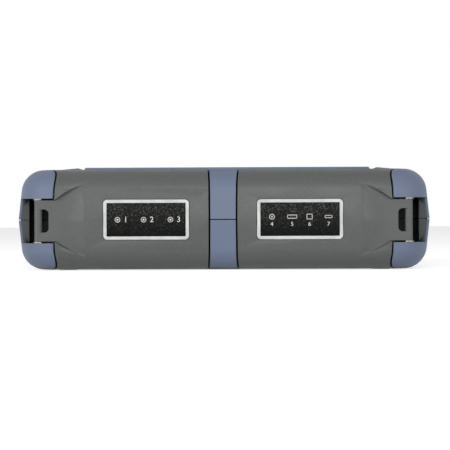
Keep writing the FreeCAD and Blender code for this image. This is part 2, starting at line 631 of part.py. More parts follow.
def grooves():
    """Long grooves between the middle panel and the grips, open at both ends."""
    cutter = slab(GROOVE_IN, GROOVE_OUT, END_Y - 5, -END_Y + 5, FRONT_Z - GROOVE_DEPTH, FRONT_Z + 5)
    return [c.translated(V(PANEL_SHIFT, 0, 0)) for c in both_sides(cutter)]


def seam_cut(front, gap):
    """Material on the wrong side of one half's seam."""
    big = WIDTH
    if front:
        return slab(-big, big, -big, big, -5, PARTING_Z + gap / 2)
    return slab(-big, big, -big, big, PARTING_Z - gap / 2, FRONT_Z + 10)


def doors_cut():
    """Openings of both doors."""
    return both_sides(door_opening())


def stripe_relief(front):
    """Thin layer that comes off the stripe of one half, so that it lies below the doors."""
    reach = stripe_edge(WALL_FRONT_Y, DOOR_GAP)
    band = slab(-reach, reach, END_Y - 5, WALL_FRONT_Y, -5, FRONT_Z + 5)
    return band.cut(half_envelope(STRIPE_SINK, front))


def front_bumper():
    """Blue skin of the front half, with the raised panel."""
    shell = half_envelope(0, True).cut(half_envelope(SKIN, True))
    shell = shell.cut(seam_cut(True, SEAM_GAP))
    shell = shell.fuse([p.cut(half_envelope(SKIN, True)) for p in raised_panel()])
    x0, x1, y0, y1 = WINDOW
    glass = rounded_slab(x0 - WINDOW_FIT, x1 + WINDOW_FIT, y0 - WINDOW_FIT, y1 + WINDOW_FIT,
                         WINDOW_RADIUS + WINDOW_FIT, FRONT_Z - SKIN - 5, PANEL_TOP_Z + 5)
    cuts = doors_cut() + pin_holes() + grooves() + [glass, stripe_relief(True)] + front_openings()
    return shell.cut(cuts).removeSplitter()


def main_cavity(front):
    """Inside of one half, behind the end wall."""
    box = slab(-WIDTH, WIDTH, WALL_BACK_Y, DEPTH, -5, FRONT_Z + 5)
    return half_envelope(CAVITY_OUT, front).common(box).cut(both_sides(recess_well(WELL_WALL)))


def bay_pockets():
    """Seats of the two socket panels and the windows behind them."""
    z0, z1 = BACK_Z + BAY_MARGIN_Z, FRONT_Z - BAY_MARGIN_Z
    seat = slab(BAY_IN_X, BAY_OUT_X, END_Y - 12, PANEL_SEAT_Y, z0, z1)
    window = slab(BAY_IN_X + BAY_LEDGE, BAY_OUT_X - BAY_LEDGE, PANEL_SEAT_Y - 1, WALL_BACK_Y + 5,
                  z0 + BAY_LEDGE_Z, z1 - BAY_LEDGE_Z)
    return both_sides(seat) + both_sides(window)


def screw_places():
    """Plan positions of the four case screws."""
    return [(sx * SCREW_X, y) for sx in (-1, 1) for y in (SCREW_Y0, SCREW_Y1)]


def pin_holes():
    """Blind holes for the ends of both hinge pins."""
    return both_sides(hinge_pin())


def seam_ring(outer, inner, half):
    """Flat ring in the seam, between two insets from the outer form."""
    rings = []
    for inset, reach in ((outer, half), (inner, half + 1)):
        hx, hy = WIDTH / 2 - inset, DEPTH / 2 - inset
        rings.append(rounded_slab(-hx, hx, -hy, hy, PLAN_RADIUS - inset,
                                  PARTING_Z - reach, PARTING_Z + reach))
    return rings[0].cut(rings[1])


def gasket_ring():
    """Rubber seal round three sides of the main cavity, with a thin bead that fills the seam."""
    body = seam_ring(GASKET_OUT, GASKET_OUT + GASKET_SIDE, GASKET_SIDE / 2)
    bead = seam_ring(BEAD_SINK, GASKET_OUT + GASKET_SIDE / 2, CORE_SEAM_GAP / 2)
    ring = body.fuse(bead).removeSplitter()
    return ring.cut(slab(-WIDTH, WIDTH, -DEPTH, WALL_BACK_Y + 0.5, 0, FRONT_Z))


def front_shell():
    """Grey core of the front half."""
    shell = half_envelope(CORE_OUT, True).cut(main_cavity(True))
    shell = shell.cut(seam_cut(True, CORE_SEAM_GAP))
    bosses = [rod(BOSS_RADIUS, V(x, y, PARTING_Z + CORE_SEAM_GAP / 2), V(x, y, FRONT_INSIDE_Z + 0.5))
              for x, y in screw_places()]
    holes = [rod(SCREW_R, V(x, y, 0), V(x, y, PARTING_Z + SCREW_GRIP + 2)) for x, y in screw_places()]
    shell = shell.fuse(bosses)
    cuts = doors_cut() + bay_pockets() + pin_holes() + front_openings() + holes
    cuts.append(gasket_ring())
    return shell.cut(cuts).removeSplitter()


# ------------------------------------------------------------- back details ----
def stand_pocket(grow):
    """Hollow that the folded stand lies in, with its finger notch."""
    top = STAND_POCKET_TOP + grow
    body = slab(-STAND_HALF - STAND_CLEAR - grow, STAND_HALF + STAND_CLEAR + grow,
                STAND_AXIS_Y - STAND_BARREL - 1.0 - grow, STAND_TIP_Y + STAND_CLEAR + grow,
                -5, top)
    notch = slab(-NOTCH_HALF - grow, NOTCH_HALF + grow, STAND_TIP_Y - 2,
                 STAND_TIP_Y + STAND_CLEAR + NOTCH_LENGTH + grow, -5, top)
    return body.fuse(notch)


def battery_pocket(grow, top):
    """Battery compartment, open to the back."""
    return slab(-BATTERY_X - grow, BATTERY_X + grow, BATTERY_Y0 - grow, BATTERY_Y1 + grow, -5, top)


def battery_cover_outline(fit, z0, z1):
    """Plan form of the battery cover, smaller all round by fit."""
    x1 = BATTERY_X + BATTERY_LIP_X - fit
    return rounded_slab(-x1, x1, BATTERY_Y0 - BATTERY_LIP_Y + fit,
                        BATTERY_Y1 + BATTERY_LIP_Y - fit, COVER_RADIUS - fit, z0, z1)


def speaker_slots():
    """Row of sound slots through the back."""
    slots = []
    for i in range(SLOT_COUNT):
        y = SPEAKER_Y + (i - (SLOT_COUNT - 1) / 2) * SLOT_PITCH
        half = math.sqrt(SPEAKER_RADIUS ** 2 - (y - SPEAKER_Y) ** 2) - 1.5
        slots.append(rounded_slab(SPEAKER_X - half, SPEAKER_X + half, y - SLOT_WIDTH / 2,
                                  y + SLOT_WIDTH / 2, SLOT_WIDTH / 2 - 0.05, -5, BACK_INSIDE_Z + 1))
    return slots


def foot_places():
    """Plan positions of the four feet."""
    return [(sx * FOOT_X, y) for sx in (-1, 1) for y in (FOOT_Y0, FOOT_Y1)]


def cover_screw_places():
    """Plan positions of the battery cover's two screws."""
    y = (BATTERY_Y0 + BATTERY_Y1) / 2
    x = BATTERY_X + BATTERY_LIP_X / 2
    return [(-x, y), (x, y)]


def rear_openings(skin):
    """Everything cut into the back, for the skin or for the core."""
    cuts = [stand_pocket(0.0), battery_cover_outline(0.0, -5, BACK_Z + BATTERY_COVER_T)]
    cuts += speaker_slots()
    head_r = SCREW_HEAD_R + 0.3
    for x, y in screw_places():
        cuts.append(rod(head_r, V(x, y, -5), V(x, y, BACK_Z + SCREW_SINK + SCREW_HEAD_T)))
        if not skin:
            cuts.append(rod(SCREW_R + 0.2, V(x, y, 0), V(x, y, PARTING_Z + 2)))
    for x, y in foot_places():
        cuts.append(rod(FOOT_RADIUS, V(x, y, -5), V(x, y, BACK_Z + FOOT_SINK)))
    return cuts


def rear_bumper():
    """Blue skin of the back half."""
    shell = half_envelope(0, False).cut(half_envelope(SKIN, False))
    shell = shell.cut(seam_cut(False, SEAM_GAP))
    cuts = doors_cut() + pin_holes() + [stripe_relief(False)] + rear_openings(True)
    return shell.cut(cuts).removeSplitter()


def rear_shell():
    """Grey core of the back half, with the pockets for the stand and the battery."""
    solid = half_envelope(CORE_OUT, False)
    cavity = main_cavity(False).cut(
        [stand_pocket(POCKET_WALL), battery_pocket(POCKET_WALL, BATTERY_TOP + POCKET_WALL),
         battery_cover_outline(-POCKET_WALL, -5, BACK_Z + BATTERY_COVER_T + POCKET_WALL)])
    bosses = [rod(BOSS_RADIUS, V(x, y, 0), V(x, y, PARTING_Z)) for x, y in screw_places()]
    bosses += [rod(BATTERY_LIP_X / 2, V(x, y, 0), V(x, y, BACK_Z + COVER_SCREW_L + 1))
               for x, y in cover_screw_places()]
    cavity = cavity.cut(bosses)
    shell = solid.cut(cavity).cut(seam_cut(False, CORE_SEAM_GAP))
    cuts = doors_cut() + bay_pockets() + pin_holes() + rear_openings(False)
    cuts += [gasket_ring(), battery_pocket(0.0, BATTERY_TOP), stand_pin()]
    cuts += [rod(COVER_SCREW_R, V(x, y, 0), V(x, y, BACK_Z + COVER_SCREW_L))
             for x, y in cover_screw_places()]
    return shell.cut(cuts).removeSplitter()


def stand_pin():
    """Steel pin of the stand's hinge."""
    reach = STAND_HALF + STAND_CLEAR + POCKET_WALL - 0.3
    return rod(STAND_PIN_RADIUS, V(-reach, STAND_AXIS_Y, STAND_AXIS_Z),
               V(reach, STAND_AXIS_Y, STAND_AXIS_Z))


def stand_pad_form(sink):
    """Block of the stand's rubber pad, from its outer face to the floor of its seat."""
    length, width, thick = STAND_PAD
    y1 = STAND_TIP_Y - STAND_PAD_IN
    return slab(-length / 2, length / 2, y1 - width, y1, STAND_FLOOR_Z - sink,
                STAND_FLOOR_Z - STAND_PAD_PROUD + thick)


def stand():
    """Folding stand: a ribbed plate on a barrel."""
    z0 = STAND_FLOOR_Z
    barrel = rod(STAND_BARREL, V(-STAND_HALF, STAND_AXIS_Y, STAND_AXIS_Z),
                 V(STAND_HALF, STAND_AXIS_Y, STAND_AXIS_Z))
    plate = rounded_slab(-STAND_HALF, STAND_HALF, STAND_AXIS_Y - STAND_CORNER, STAND_TIP_Y,
                         STAND_CORNER, z0, z0 + STAND_T)
    plate = plate.cut(slab(-STAND_HALF - 1, STAND_HALF + 1, STAND_AXIS_Y - STAND_CORNER - 1,
                           STAND_AXIS_Y, z0 - 1, z0 + STAND_T + 1))
    ribs = [slab(x - STAND_RIB_T / 2, x + STAND_RIB_T / 2, STAND_AXIS_Y, STAND_TIP_Y - 10,
                 z0 + STAND_T - 0.1, z0 + STAND_T + STAND_RIB_DEPTH)
            for side in (-1, 1) for x in (side * STAND_RIB_X[0], side * STAND_RIB_X[1])]
    bore = rod(STAND_PIN_RADIUS + PIN_CLEARANCE, V(-WIDTH, STAND_AXIS_Y, STAND_AXIS_Z),
               V(WIDTH, STAND_AXIS_Y, STAND_AXIS_Z))
    return join([barrel, plate] + ribs).cut([bore, stand_pad_form(1.0)]).removeSplitter()


def stand_rubber():
    """Rubber pad let into the stand's tip."""
    return stand_pad_form(STAND_PAD_PROUD)


def battery_cover():
    """Cover of the battery compartment."""
    plate = battery_cover_outline(COVER_FIT, BACK_Z, BACK_Z + BATTERY_COVER_T)
    for x, y in cover_screw_places():
        plate = plate.cut(rod(SCREW_HEAD_R + 0.2, V(x, y, 0), V(x, y, BACK_Z + COVER_HEAD_T)))
        plate = plate.cut(rod(COVER_SCREW_R + 0.2, V(x, y, 0), V(x, y, BACK_Z + 10)))
    return plate


def cover_screws():
    """The battery cover's two screws."""
    screws = []
    for x, y in cover_screw_places():
        head = rod(SCREW_HEAD_R, V(x, y, BACK_Z + 0.1), V(x, y, BACK_Z + COVER_HEAD_T))
        shank = rod(COVER_SCREW_R - 0.02, V(x, y, BACK_Z + 1.0),
                    V(x, y, BACK_Z + COVER_SCREW_L - 0.5))
        slot = slab(x - SCREW_HEAD_R, x + SCREW_HEAD_R, y - SLOT_HALF, y + SLOT_HALF,
                    0, BACK_Z + 0.1 + SLOT_DEPTH)
        screws.append(head.fuse(shank).cut(slot))
    return screws


def case_screws():
    """Four screws that hold the two halves together."""
    screws = []
    top = BACK_Z + SCREW_SINK + SCREW_HEAD_T
    for x, y in screw_places():
        head = rod(SCREW_HEAD_R, V(x, y, top - SCREW_HEAD_T), V(x, y, top))
        socket = rod(SCREW_SOCKET_R, V(x, y, top - SCREW_HEAD_T - 1), V(x, y, top - SCREW_HEAD_T * 0.4))
        shank = rod(SCREW_R - 0.02, V(x, y, top - 0.5), V(x, y, PARTING_Z + SCREW_GRIP))
        screws.append(head.fuse(shank).cut(socket))
    return screws


def rubber_feet():
    """Four round feet let into the back."""
    feet = []
    for x, y in foot_places():
        foot = rod(FOOT_RADIUS - 0.05, V(x, y, 0), V(x, y, BACK_Z + FOOT_SINK - 0.02))
        rim = [e for e in foot.Edges if all(abs(v.Z) < 1e-4 for v in e.Vertexes)]
        feet.append(foot.makeChamfer(0.4, rim))
    return feet


# ------------------------------------------------------------------ sockets ----
def flange_screw_places(x):
    """Where the two screws of a fibre socket stand, in the plane of its flange."""
    return [(x + d * FLANGE_SCREW, PARTING_Z + d * FLANGE_SCREW) for d in (-1, 1)]


def optical_adapter(x):
    """Round metal fibre socket: flange, threaded nose and ferrule sleeve."""
    face_y = PANEL_SEAT_Y - PANEL_T
    flange = upright_plate(x, PARTING_Z, FLANGE_SIDE, FLANGE_SIDE, FLANGE_RADIUS,
                           face_y - FLANGE_T, face_y)
    nose_y = face_y - FLANGE_T - NOSE_LENGTH
    tail_y = WALL_BACK_Y + SOCKET_TAIL
    nose = rod(NOSE_RADIUS, V(x, nose_y, PARTING_Z), V(x, tail_y, PARTING_Z))
    hollow = rod(NOSE_BORE, V(x, nose_y - 1, PARTING_Z), V(x, face_y - 0.5, PARTING_Z))
    sleeve = rod(SLEEVE_RADIUS, V(x, nose_y + SLEEVE_SINK, PARTING_Z), V(x, face_y, PARTING_Z))
    bore = rod(FERRULE_RADIUS, V(x, nose_y - 1, PARTING_Z), V(x, face_y - 0.5, PARTING_Z))
    body = flange.fuse(nose).cut(hollow).fuse(sleeve).cut(bore)
    holes = [rod(FLANGE_SCREW_R + 0.05, V(sx, face_y - FLANGE_T - 1, sz), V(sx, face_y + 1, sz))
             for sx, sz in flange_screw_places(x)]
    return body.cut(holes).removeSplitter()


def adapter_screws():
    """Two small screws for each fibre socket."""
    screws = []
    face_y = PANEL_SEAT_Y - PANEL_T - FLANGE_T
    for x in (VFL_X, OTDR_X, OPM_X):
        for sx, sz in flange_screw_places(x):
            head = rod(FLANGE_HEAD_R, V(sx, face_y - FLANGE_HEAD_T, sz), V(sx, face_y, sz))
            shank = rod(FLANGE_SCREW_R, V(sx, face_y - 0.2, sz), V(sx, PANEL_SEAT_Y - 0.2, sz))
            screws.append(head.fuse(shank))
    return screws


def socket_panel(side, holes):
    """Plate on the floor of a socket bay, with the sockets' holes through it."""
    z0, z1 = BACK_Z + BAY_MARGIN_Z + PANEL_FIT, FRONT_Z - BAY_MARGIN_Z - PANEL_FIT
    xs = sorted((side * (BAY_IN_X + PANEL_FIT), side * (BAY_OUT_X - PANEL_FIT)))
    plate = slab(xs[0], xs[1], PANEL_SEAT_Y - PANEL_T, PANEL_SEAT_Y, z0, z1)
    return plate.cut(holes).removeSplitter()


def optical_panel():
    """Panel that carries the three fibre sockets."""
    holes = []
    for x in (VFL_X, OTDR_X, OPM_X):
        holes.append(rod(NOSE_RADIUS + 0.15, V(x, END_Y, PARTING_Z), V(x, 0, PARTING_Z)))
        holes += [rod(FLANGE_SCREW_R, V(sx, END_Y, sz), V(sx, 0, sz))
                  for sx, sz in flange_screw_places(x)]
    return socket_panel(-1, holes)


def io_front_y():
    """Front plane of the electrical sockets."""
    return PANEL_SEAT_Y - PANEL_T - PROTRUDE


def dc_jack():
    """Round power inlet with its centre pin."""
    y0 = io_front_y()
    body = upright_plate(DC_X, PARTING_Z, DC_SIDE, DC_SIDE, DC_RADIUS, y0, IO_BOARD_Y)
    hole = rod(DC_BORE_R, V(DC_X, y0 - 1, PARTING_Z), V(DC_X, y0 + DC_DEPTH, PARTING_Z))
    pin = rod(DC_PIN_R, V(DC_X, y0 + 0.8, PARTING_Z), V(DC_X, y0 + DC_DEPTH + 0.5, PARTING_Z))
    return body.cut(hole).fuse(pin).removeSplitter()


def usb_socket():
    """Wide serial socket: metal sleeve and its tongue."""
    y0 = io_front_y()
    width, height = USB_SIZE
    body = upright_plate(USB_X, PARTING_Z, width, height, USB_RADIUS, y0, IO_BOARD_Y)
    hollow = upright_plate(USB_X, PARTING_Z, width - 2 * USB_WALL, height - 2 * USB_WALL,
                           USB_RADIUS / 2, y0 - 1, y0 + USB_DEPTH)
    half, low, high = USB_TONGUE
    tongue = slab(USB_X - half, USB_X + half, y0 + 1.0, y0 + USB_DEPTH + 0.5,
                  PARTING_Z + low, PARTING_Z + high)
    return body.cut(hollow).fuse(tongue).removeSplitter()


def lan_jack():
    """Network jack with its latch notch and eight contacts."""
    y0 = io_front_y()
    half, floor, roof = LAN_MOUTH
    latch_half, latch_floor = LAN_LATCH
    body = upright_plate(LAN_X, PARTING_Z, LAN_SIZE[0], LAN_SIZE[1], 0.4, y0, IO_BOARD_Y)
    mouth = slab(LAN_X - half, LAN_X + half, y0 - 1, y0 + LAN_DEPTH,
                 PARTING_Z + floor, PARTING_Z + roof)
    latch = slab(LAN_X - latch_half, LAN_X + latch_half, y0 - 1, y0 + LAN_LATCH_DEPTH,
                 PARTING_Z + latch_floor, PARTING_Z + floor + 0.1)
    contacts = []
    for i in range(LAN_CONTACTS):
        x = LAN_X + (i - (LAN_CONTACTS - 1) / 2) * LAN_PITCH
        contacts.append(slab(x - 0.2, x + 0.2, y0 + 4.0, y0 + LAN_DEPTH + 0.1,
                             PARTING_Z + roof - 0.7, PARTING_Z + roof + 0.1))
    return body.cut([mouth, latch]).fuse(contacts).removeSplitter()


def micro_outline(grow, y):
    """Face of the small serial socket's form, with two slanted lower corners."""
    half, low, top = MICRO_HALF + grow, PARTING_Z - MICRO_LOW - grow, PARTING_Z + MICRO_TOP + grow
    shoulder = PARTING_Z - MICRO_SHOULDER
    points = [V(MICRO_X - half, y, top), V(MICRO_X + half, y, top), V(MICRO_X + half, y, shoulder),
              V(MICRO_X + half - MICRO_SLANT, y, low), V(MICRO_X - half + MICRO_SLANT, y, low),
              V(MICRO_X - half, y, shoulder)]
    return Part.Face(Part.makePolygon(points + [points[0]]))


def micro_socket():
    """Small serial socket: a flattened sleeve and its tongue."""
    y0 = io_front_y()
    sleeve = micro_outline(MICRO_WALL, y0).extrude(V(0, IO_BOARD_Y - y0, 0))
    hollow = micro_outline(0.0, y0 - 1).extrude(V(0, MICRO_DEPTH + 1, 0))
    tongue = slab(MICRO_X - 2.2, MICRO_X + 2.2, y0 + 1.2, y0 + MICRO_DEPTH + 0.5,
                  PARTING_Z + 0.1, PARTING_Z + 0.7)
    return sleeve.cut(hollow).fuse(tongue).removeSplitter()


def io_panel():
    """Panel that carries the electrical sockets."""
    fit = 2 * SOCKET_FIT
    sizes = ((DC_X, DC_SIDE, DC_SIDE), (USB_X, *USB_SIZE), (LAN_X, *LAN_SIZE))
    holes = [upright_plate(x, PARTING_Z, width + fit, height + fit, 0.6, END_Y, 0)
             for x, width, height in sizes]
    holes.append(micro_outline(MICRO_WALL + SOCKET_FIT, END_Y).extrude(V(0, -END_Y, 0)))
    return socket_panel(1, holes)


def panel_screws():
    """Corner screws of both socket panels."""
    screws = []
    face_y = PANEL_SEAT_Y - PANEL_T
    z0, z1 = BACK_Z + BAY_MARGIN_Z, FRONT_Z - BAY_MARGIN_Z
    for side in (-1, 1):
        for x in (BAY_IN_X + PANEL_SCREW_IN, BAY_OUT_X - PANEL_SCREW_IN):
            for z in (z0 + PANEL_SCREW_IN, z1 - PANEL_SCREW_IN):
                screws.append(rod(PANEL_SCREW_R, V(side * x, face_y - PANEL_SCREW_T, z),
                                  V(side * x, face_y, z)))
    return screws


# ----------------------------------------------------------------- interior ----
def vfl_laser():
    """Red laser module behind the first fibre socket."""
    y0 = WALL_BACK_Y + SOCKET_TAIL
    return rod(LASER_RADIUS, V(VFL_X, y0, PARTING_Z), V(VFL_X, y0 + LASER_LENGTH, PARTING_Z))


def otdr_engine():
    """Screened measuring module behind the middle fibre socket."""
    y0 = WALL_BACK_Y + SOCKET_TAIL
    return rounded_slab(ENGINE_X0, ENGINE_X1, y0, y0 + ENGINE_LENGTH, 2.0, ENGINE_FLOOR, BOARD_Z)


def opm_detector():
    """Light detector behind the third fibre socket."""
    y0 = WALL_BACK_Y + SOCKET_TAIL
    can = rod(CAN_RADIUS, V(OPM_X, y0, PARTING_Z), V(OPM_X, y0 + CAN_LENGTH, PARTING_Z))
    return can.fuse(rod(DETECTOR_RADIUS, V(OPM_X, y0 + CAN_LENGTH - 1, PARTING_Z),
                        V(OPM_X, y0 + DETECTOR_LENGTH, PARTING_Z)))


def io_board():
    """Upright board that carries the electrical sockets."""
    return slab(BAY_IN_X + 2, BAY_OUT_X - 4, IO_BOARD_Y, IO_BOARD_Y + BOARD_T,
                IO_BOARD_FLOOR, BOARD_Z - 0.2)


def main_board():
    """Main circuit board, hung below the chassis."""
    return slab(-BOARD_X, BOARD_X, BOARD_Y0, BOARD_Y1, BOARD_Z, BOARD_Z + BOARD_T)


def board_standoffs():
    """Posts between the chassis and the main board."""
    z0, z1 = BOARD_Z + BOARD_T, CHASSIS_TOP - CHASSIS_T
    return [rod(POST_RADIUS, V(side * (BOARD_X - BOARD_POST_IN), y, z0),
                V(side * (BOARD_X - BOARD_POST_IN), y, z1))
            for side in (-1, 1) for y in (BOARD_Y0 + BOARD_POST_IN, BOARD_Y1 - BOARD_POST_IN)]


def chassis():
    """Metal plate with its posts, which carries the display, the key board and the main board."""
    z0 = CHASSIS_TOP - CHASSIS_T
    plate = slab(-CHASSIS_X, CHASSIS_X, CHASSIS_Y0, CHASSIS_Y1, z0, CHASSIS_TOP)
    windows = [slab(x0, x1, CHASSIS_WINDOW_Y[0], CHASSIS_WINDOW_Y[1], z0 - 1, CHASSIS_TOP + 1)
               for x0, x1 in CHASSIS_WINDOWS]
    edge = POST_RADIUS + 1.5
    posts = [rod(POST_RADIUS, V(side * (CHASSIS_X - edge), y, z0),
                 V(side * (CHASSIS_X - edge), y, FRONT_INSIDE_Z))
             for side in (-1, 1) for y in (CHASSIS_Y0 + edge, CHASSIS_Y1 - edge)]
    return join([plate.cut(windows)] + posts)


def lcd_module():
    """Display module, right behind the glass."""
    x0, x1, y0, y1 = WINDOW
    top = FRONT_Z - CORE_OUT - 0.1
    inset = VIEW_MARGIN + LCD_FIT
    screen = slab(x0 + inset, x1 - inset, y0 + inset, y1 - inset, top - LCD_T, top)
    rim = inset - LCD_RIM
    foot = slab(x0 + rim, x1 - rim, y0 + rim, y1 - rim, CHASSIS_TOP, FRONT_INSIDE_Z - 0.4)
    return screen.fuse(foot).removeSplitter()


def display_window():
    """Cover glass of the display."""
    x0, x1, y0, y1 = WINDOW
    z0 = FRONT_Z - CORE_OUT + GASKET_T
    glass = rounded_slab(x0, x1, y0, y1, WINDOW_RADIUS, z0, z0 + WINDOW_T)
    top = [e for e in glass.Edges if all(abs(v.Z - z0 - WINDOW_T) < 1e-4 for v in e.Vertexes)]
    return glass.makeChamfer(0.3, top)


def display_gasket():
    """Adhesive seal between the glass and the core."""
    x0, x1, y0, y1 = WINDOW
    z0 = FRONT_Z - CORE_OUT
    ring = rounded_slab(x0, x1, y0, y1, WINDOW_RADIUS, z0, z0 + GASKET_T)
    edge = VIEW_MARGIN - 0.5
    return ring.cut(rounded_slab(x0 + edge, x1 - edge, y0 + edge, y1 - edge, 1.0, z0 - 1, z0 + 1))


def key_field(z0, z1):
    """Plan area below all the keys, between two heights."""
    x0, x1, _, y1 = WINDOW
    side = slab(KEY_FIELD_X, x0 + VIEW_MARGIN - 3, LIGHT_Y - 2, KEY_FIELD_Y, z0, z1)
    low = slab(x0, x1 - 4, y1 + 1, KEY_FIELD_Y, z0, z1)
    return side.fuse(low).removeSplitter()


def key_board():
    """Circuit board below the keys."""
    return key_field(CHASSIS_TOP, CHASSIS_TOP + KEY_BOARD_T)


def key_mat():
    """Switch mat on the key board."""
    z0 = CHASSIS_TOP + KEY_BOARD_T
    return key_field(z0, z0 + MAT_T)


def light_pipes():
    """Three clear status lights."""
    z0 = CHASSIS_TOP + KEY_BOARD_T + MAT_T
    return [rod(LIGHT_RADIUS, V(x, y, z0), V(x, y, PANEL_TOP_Z + LIGHT_PROUD)) for x, y in light_centres()]


def battery_pack():
    """Rechargeable pack in its compartment."""
    return rounded_slab(-BATTERY_X + BATTERY_FIT, BATTERY_X - BATTERY_FIT,
                        BATTERY_Y0 + BATTERY_FIT, BATTERY_Y1 - BATTERY_FIT,
                        3.0, BACK_Z + BATTERY_COVER_T + 0.2, BATTERY_TOP - 0.3)


def speaker():
    """Round sounder behind the slots."""
    z0 = BACK_INSIDE_Z
    ring = rod(SPEAKER_RADIUS, V(SPEAKER_X, SPEAKER_Y, z0), V(SPEAKER_X, SPEAKER_Y, z0 + SPEAKER_T))
    magnet = rod(MAGNET_RADIUS, V(SPEAKER_X, SPEAKER_Y, z0 + SPEAKER_T - 0.5),
                 V(SPEAKER_X, SPEAKER_Y, z0 + SPEAKER_T - 0.5 + MAGNET_T))
    return ring.fuse(magnet).removeSplitter()


def main():
    """Builds every node and writes its file."""
    os.makedirs("parts", exist_ok=True)
    save("front_bumper", front_bumper())
    save("rear_bumper", rear_bumper())
    save("front_shell", front_shell())
    save("rear_shell", rear_shell())
    save("seam_gasket", gasket_ring())

    door = socket_door()
    save("electrical_door", door)
    save("optical_door", mirrored(door))
    save("electrical_label_frame", label_frame())
    save("optical_label_frame", mirrored(label_frame()))
    save("electrical_label_plate", label_plate())
    save("optical_label_plate", mirrored(label_plate()))
    save("door_hinge_pins", *both_sides(hinge_pin()))
    save("door_hinge_washers", *[s for w in hinge_washers() for s in both_sides(w)])

    save("optical_panel", optical_panel())
    save("io_panel", io_panel())
    save("panel_screws", *panel_screws())
    save("vfl_adapter", optical_adapter(VFL_X))
    save("otdr_adapter", optical_adapter(OTDR_X))
    save("opm_adapter", optical_adapter(OPM_X))
    save("adapter_screws", *adapter_screws())
    save("dc_jack", dc_jack())
    save("usb_socket", usb_socket())
    save("lan_jack", lan_jack())
    save("micro_socket", micro_socket())

    save("display_window", display_window())
    save("display_gasket", display_gasket())
    save("lcd_module", lcd_module())
    for name, (top_plan, flange_plan) in key_plans().items():
        save(name, key_solid(top_plan, flange_plan))
    save("key_mat", key_mat())
    save("key_board", key_board())
    save("status_lights", *light_pipes())

    save("stand", stand())
    save("stand_pad", stand_rubber())
    save("stand_pin", stand_pin())
    save("battery_cover", battery_cover())
    save("battery_cover_screws", *cover_screws())
    save("battery_pack", battery_pack())
    save("rubber_feet", *rubber_feet())
    save("case_screws", *case_screws())
    save("speaker", speaker())

    save("chassis", chassis())
    save("main_board", main_board())
    save("board_standoffs", *board_standoffs())
    save("io_board", io_board())
    save("otdr_engine", otdr_engine())
    save("vfl_laser", vfl_laser())
    save("opm_detector", opm_detector())


main()
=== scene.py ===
"""Dresses a handheld fibre tester: a blue and grey housing, hinged socket doors, keys and display.

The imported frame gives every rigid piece.  This script gives each of them its finish, replaces the
moulded ones with the same form in smooth shading, and adds what is printed, threaded or clipped on.
Lengths are in metres.
"""

from __future__ import annotations

import logging
import math
from dataclasses import dataclass, field
from enum import Enum
from typing import Callable, Iterable, Sequence

import bpy
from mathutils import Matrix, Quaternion, Vector

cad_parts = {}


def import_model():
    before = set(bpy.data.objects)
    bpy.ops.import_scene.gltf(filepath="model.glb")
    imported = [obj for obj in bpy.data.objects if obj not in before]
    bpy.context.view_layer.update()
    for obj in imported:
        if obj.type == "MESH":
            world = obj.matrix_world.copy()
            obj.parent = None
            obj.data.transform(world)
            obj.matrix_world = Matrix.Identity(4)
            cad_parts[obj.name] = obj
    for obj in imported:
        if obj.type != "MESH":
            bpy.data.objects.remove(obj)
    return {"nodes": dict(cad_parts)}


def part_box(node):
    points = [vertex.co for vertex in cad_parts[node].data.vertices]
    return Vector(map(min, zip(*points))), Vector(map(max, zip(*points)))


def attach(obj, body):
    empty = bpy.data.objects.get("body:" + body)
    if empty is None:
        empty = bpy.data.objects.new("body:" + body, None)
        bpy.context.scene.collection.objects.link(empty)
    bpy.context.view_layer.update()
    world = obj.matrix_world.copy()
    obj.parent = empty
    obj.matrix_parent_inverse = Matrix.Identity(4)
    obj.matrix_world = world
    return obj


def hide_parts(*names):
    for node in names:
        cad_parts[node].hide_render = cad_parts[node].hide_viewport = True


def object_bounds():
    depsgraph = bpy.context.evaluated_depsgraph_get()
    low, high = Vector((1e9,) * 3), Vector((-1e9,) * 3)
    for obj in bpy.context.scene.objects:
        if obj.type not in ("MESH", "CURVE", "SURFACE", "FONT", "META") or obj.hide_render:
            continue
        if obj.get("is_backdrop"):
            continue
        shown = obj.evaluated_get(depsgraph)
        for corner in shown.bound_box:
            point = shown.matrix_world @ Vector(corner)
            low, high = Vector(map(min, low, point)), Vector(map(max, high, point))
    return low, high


LOG = logging.getLogger("fibre_tester")
MM = 0.001
NOISE_BODY = (0.3, 0.7)  # the range that most values of a noise texture fall in


# --------------------------------------------------------------------------- colours ----
def srgb(red: int, green: int, blue: int) -> tuple[float, float, float, float]:
    """Turns display values into the linear colour that a shader socket takes.

    Args:
        red: Display value from 0 to 255.
        green: Display value from 0 to 255.
        blue: Display value from 0 to 255.

    Returns:
        Linear red, green, blue and a full alpha.
    """

    def linear(value: int) -> float:
        """Undoes the display curve for one value."""
        share = value / 255.0
        return share / 12.92 if share <= 0.04045 else ((share + 0.055) / 1.055) ** 2.4

    return (linear(red), linear(green), linear(blue), 1.0)


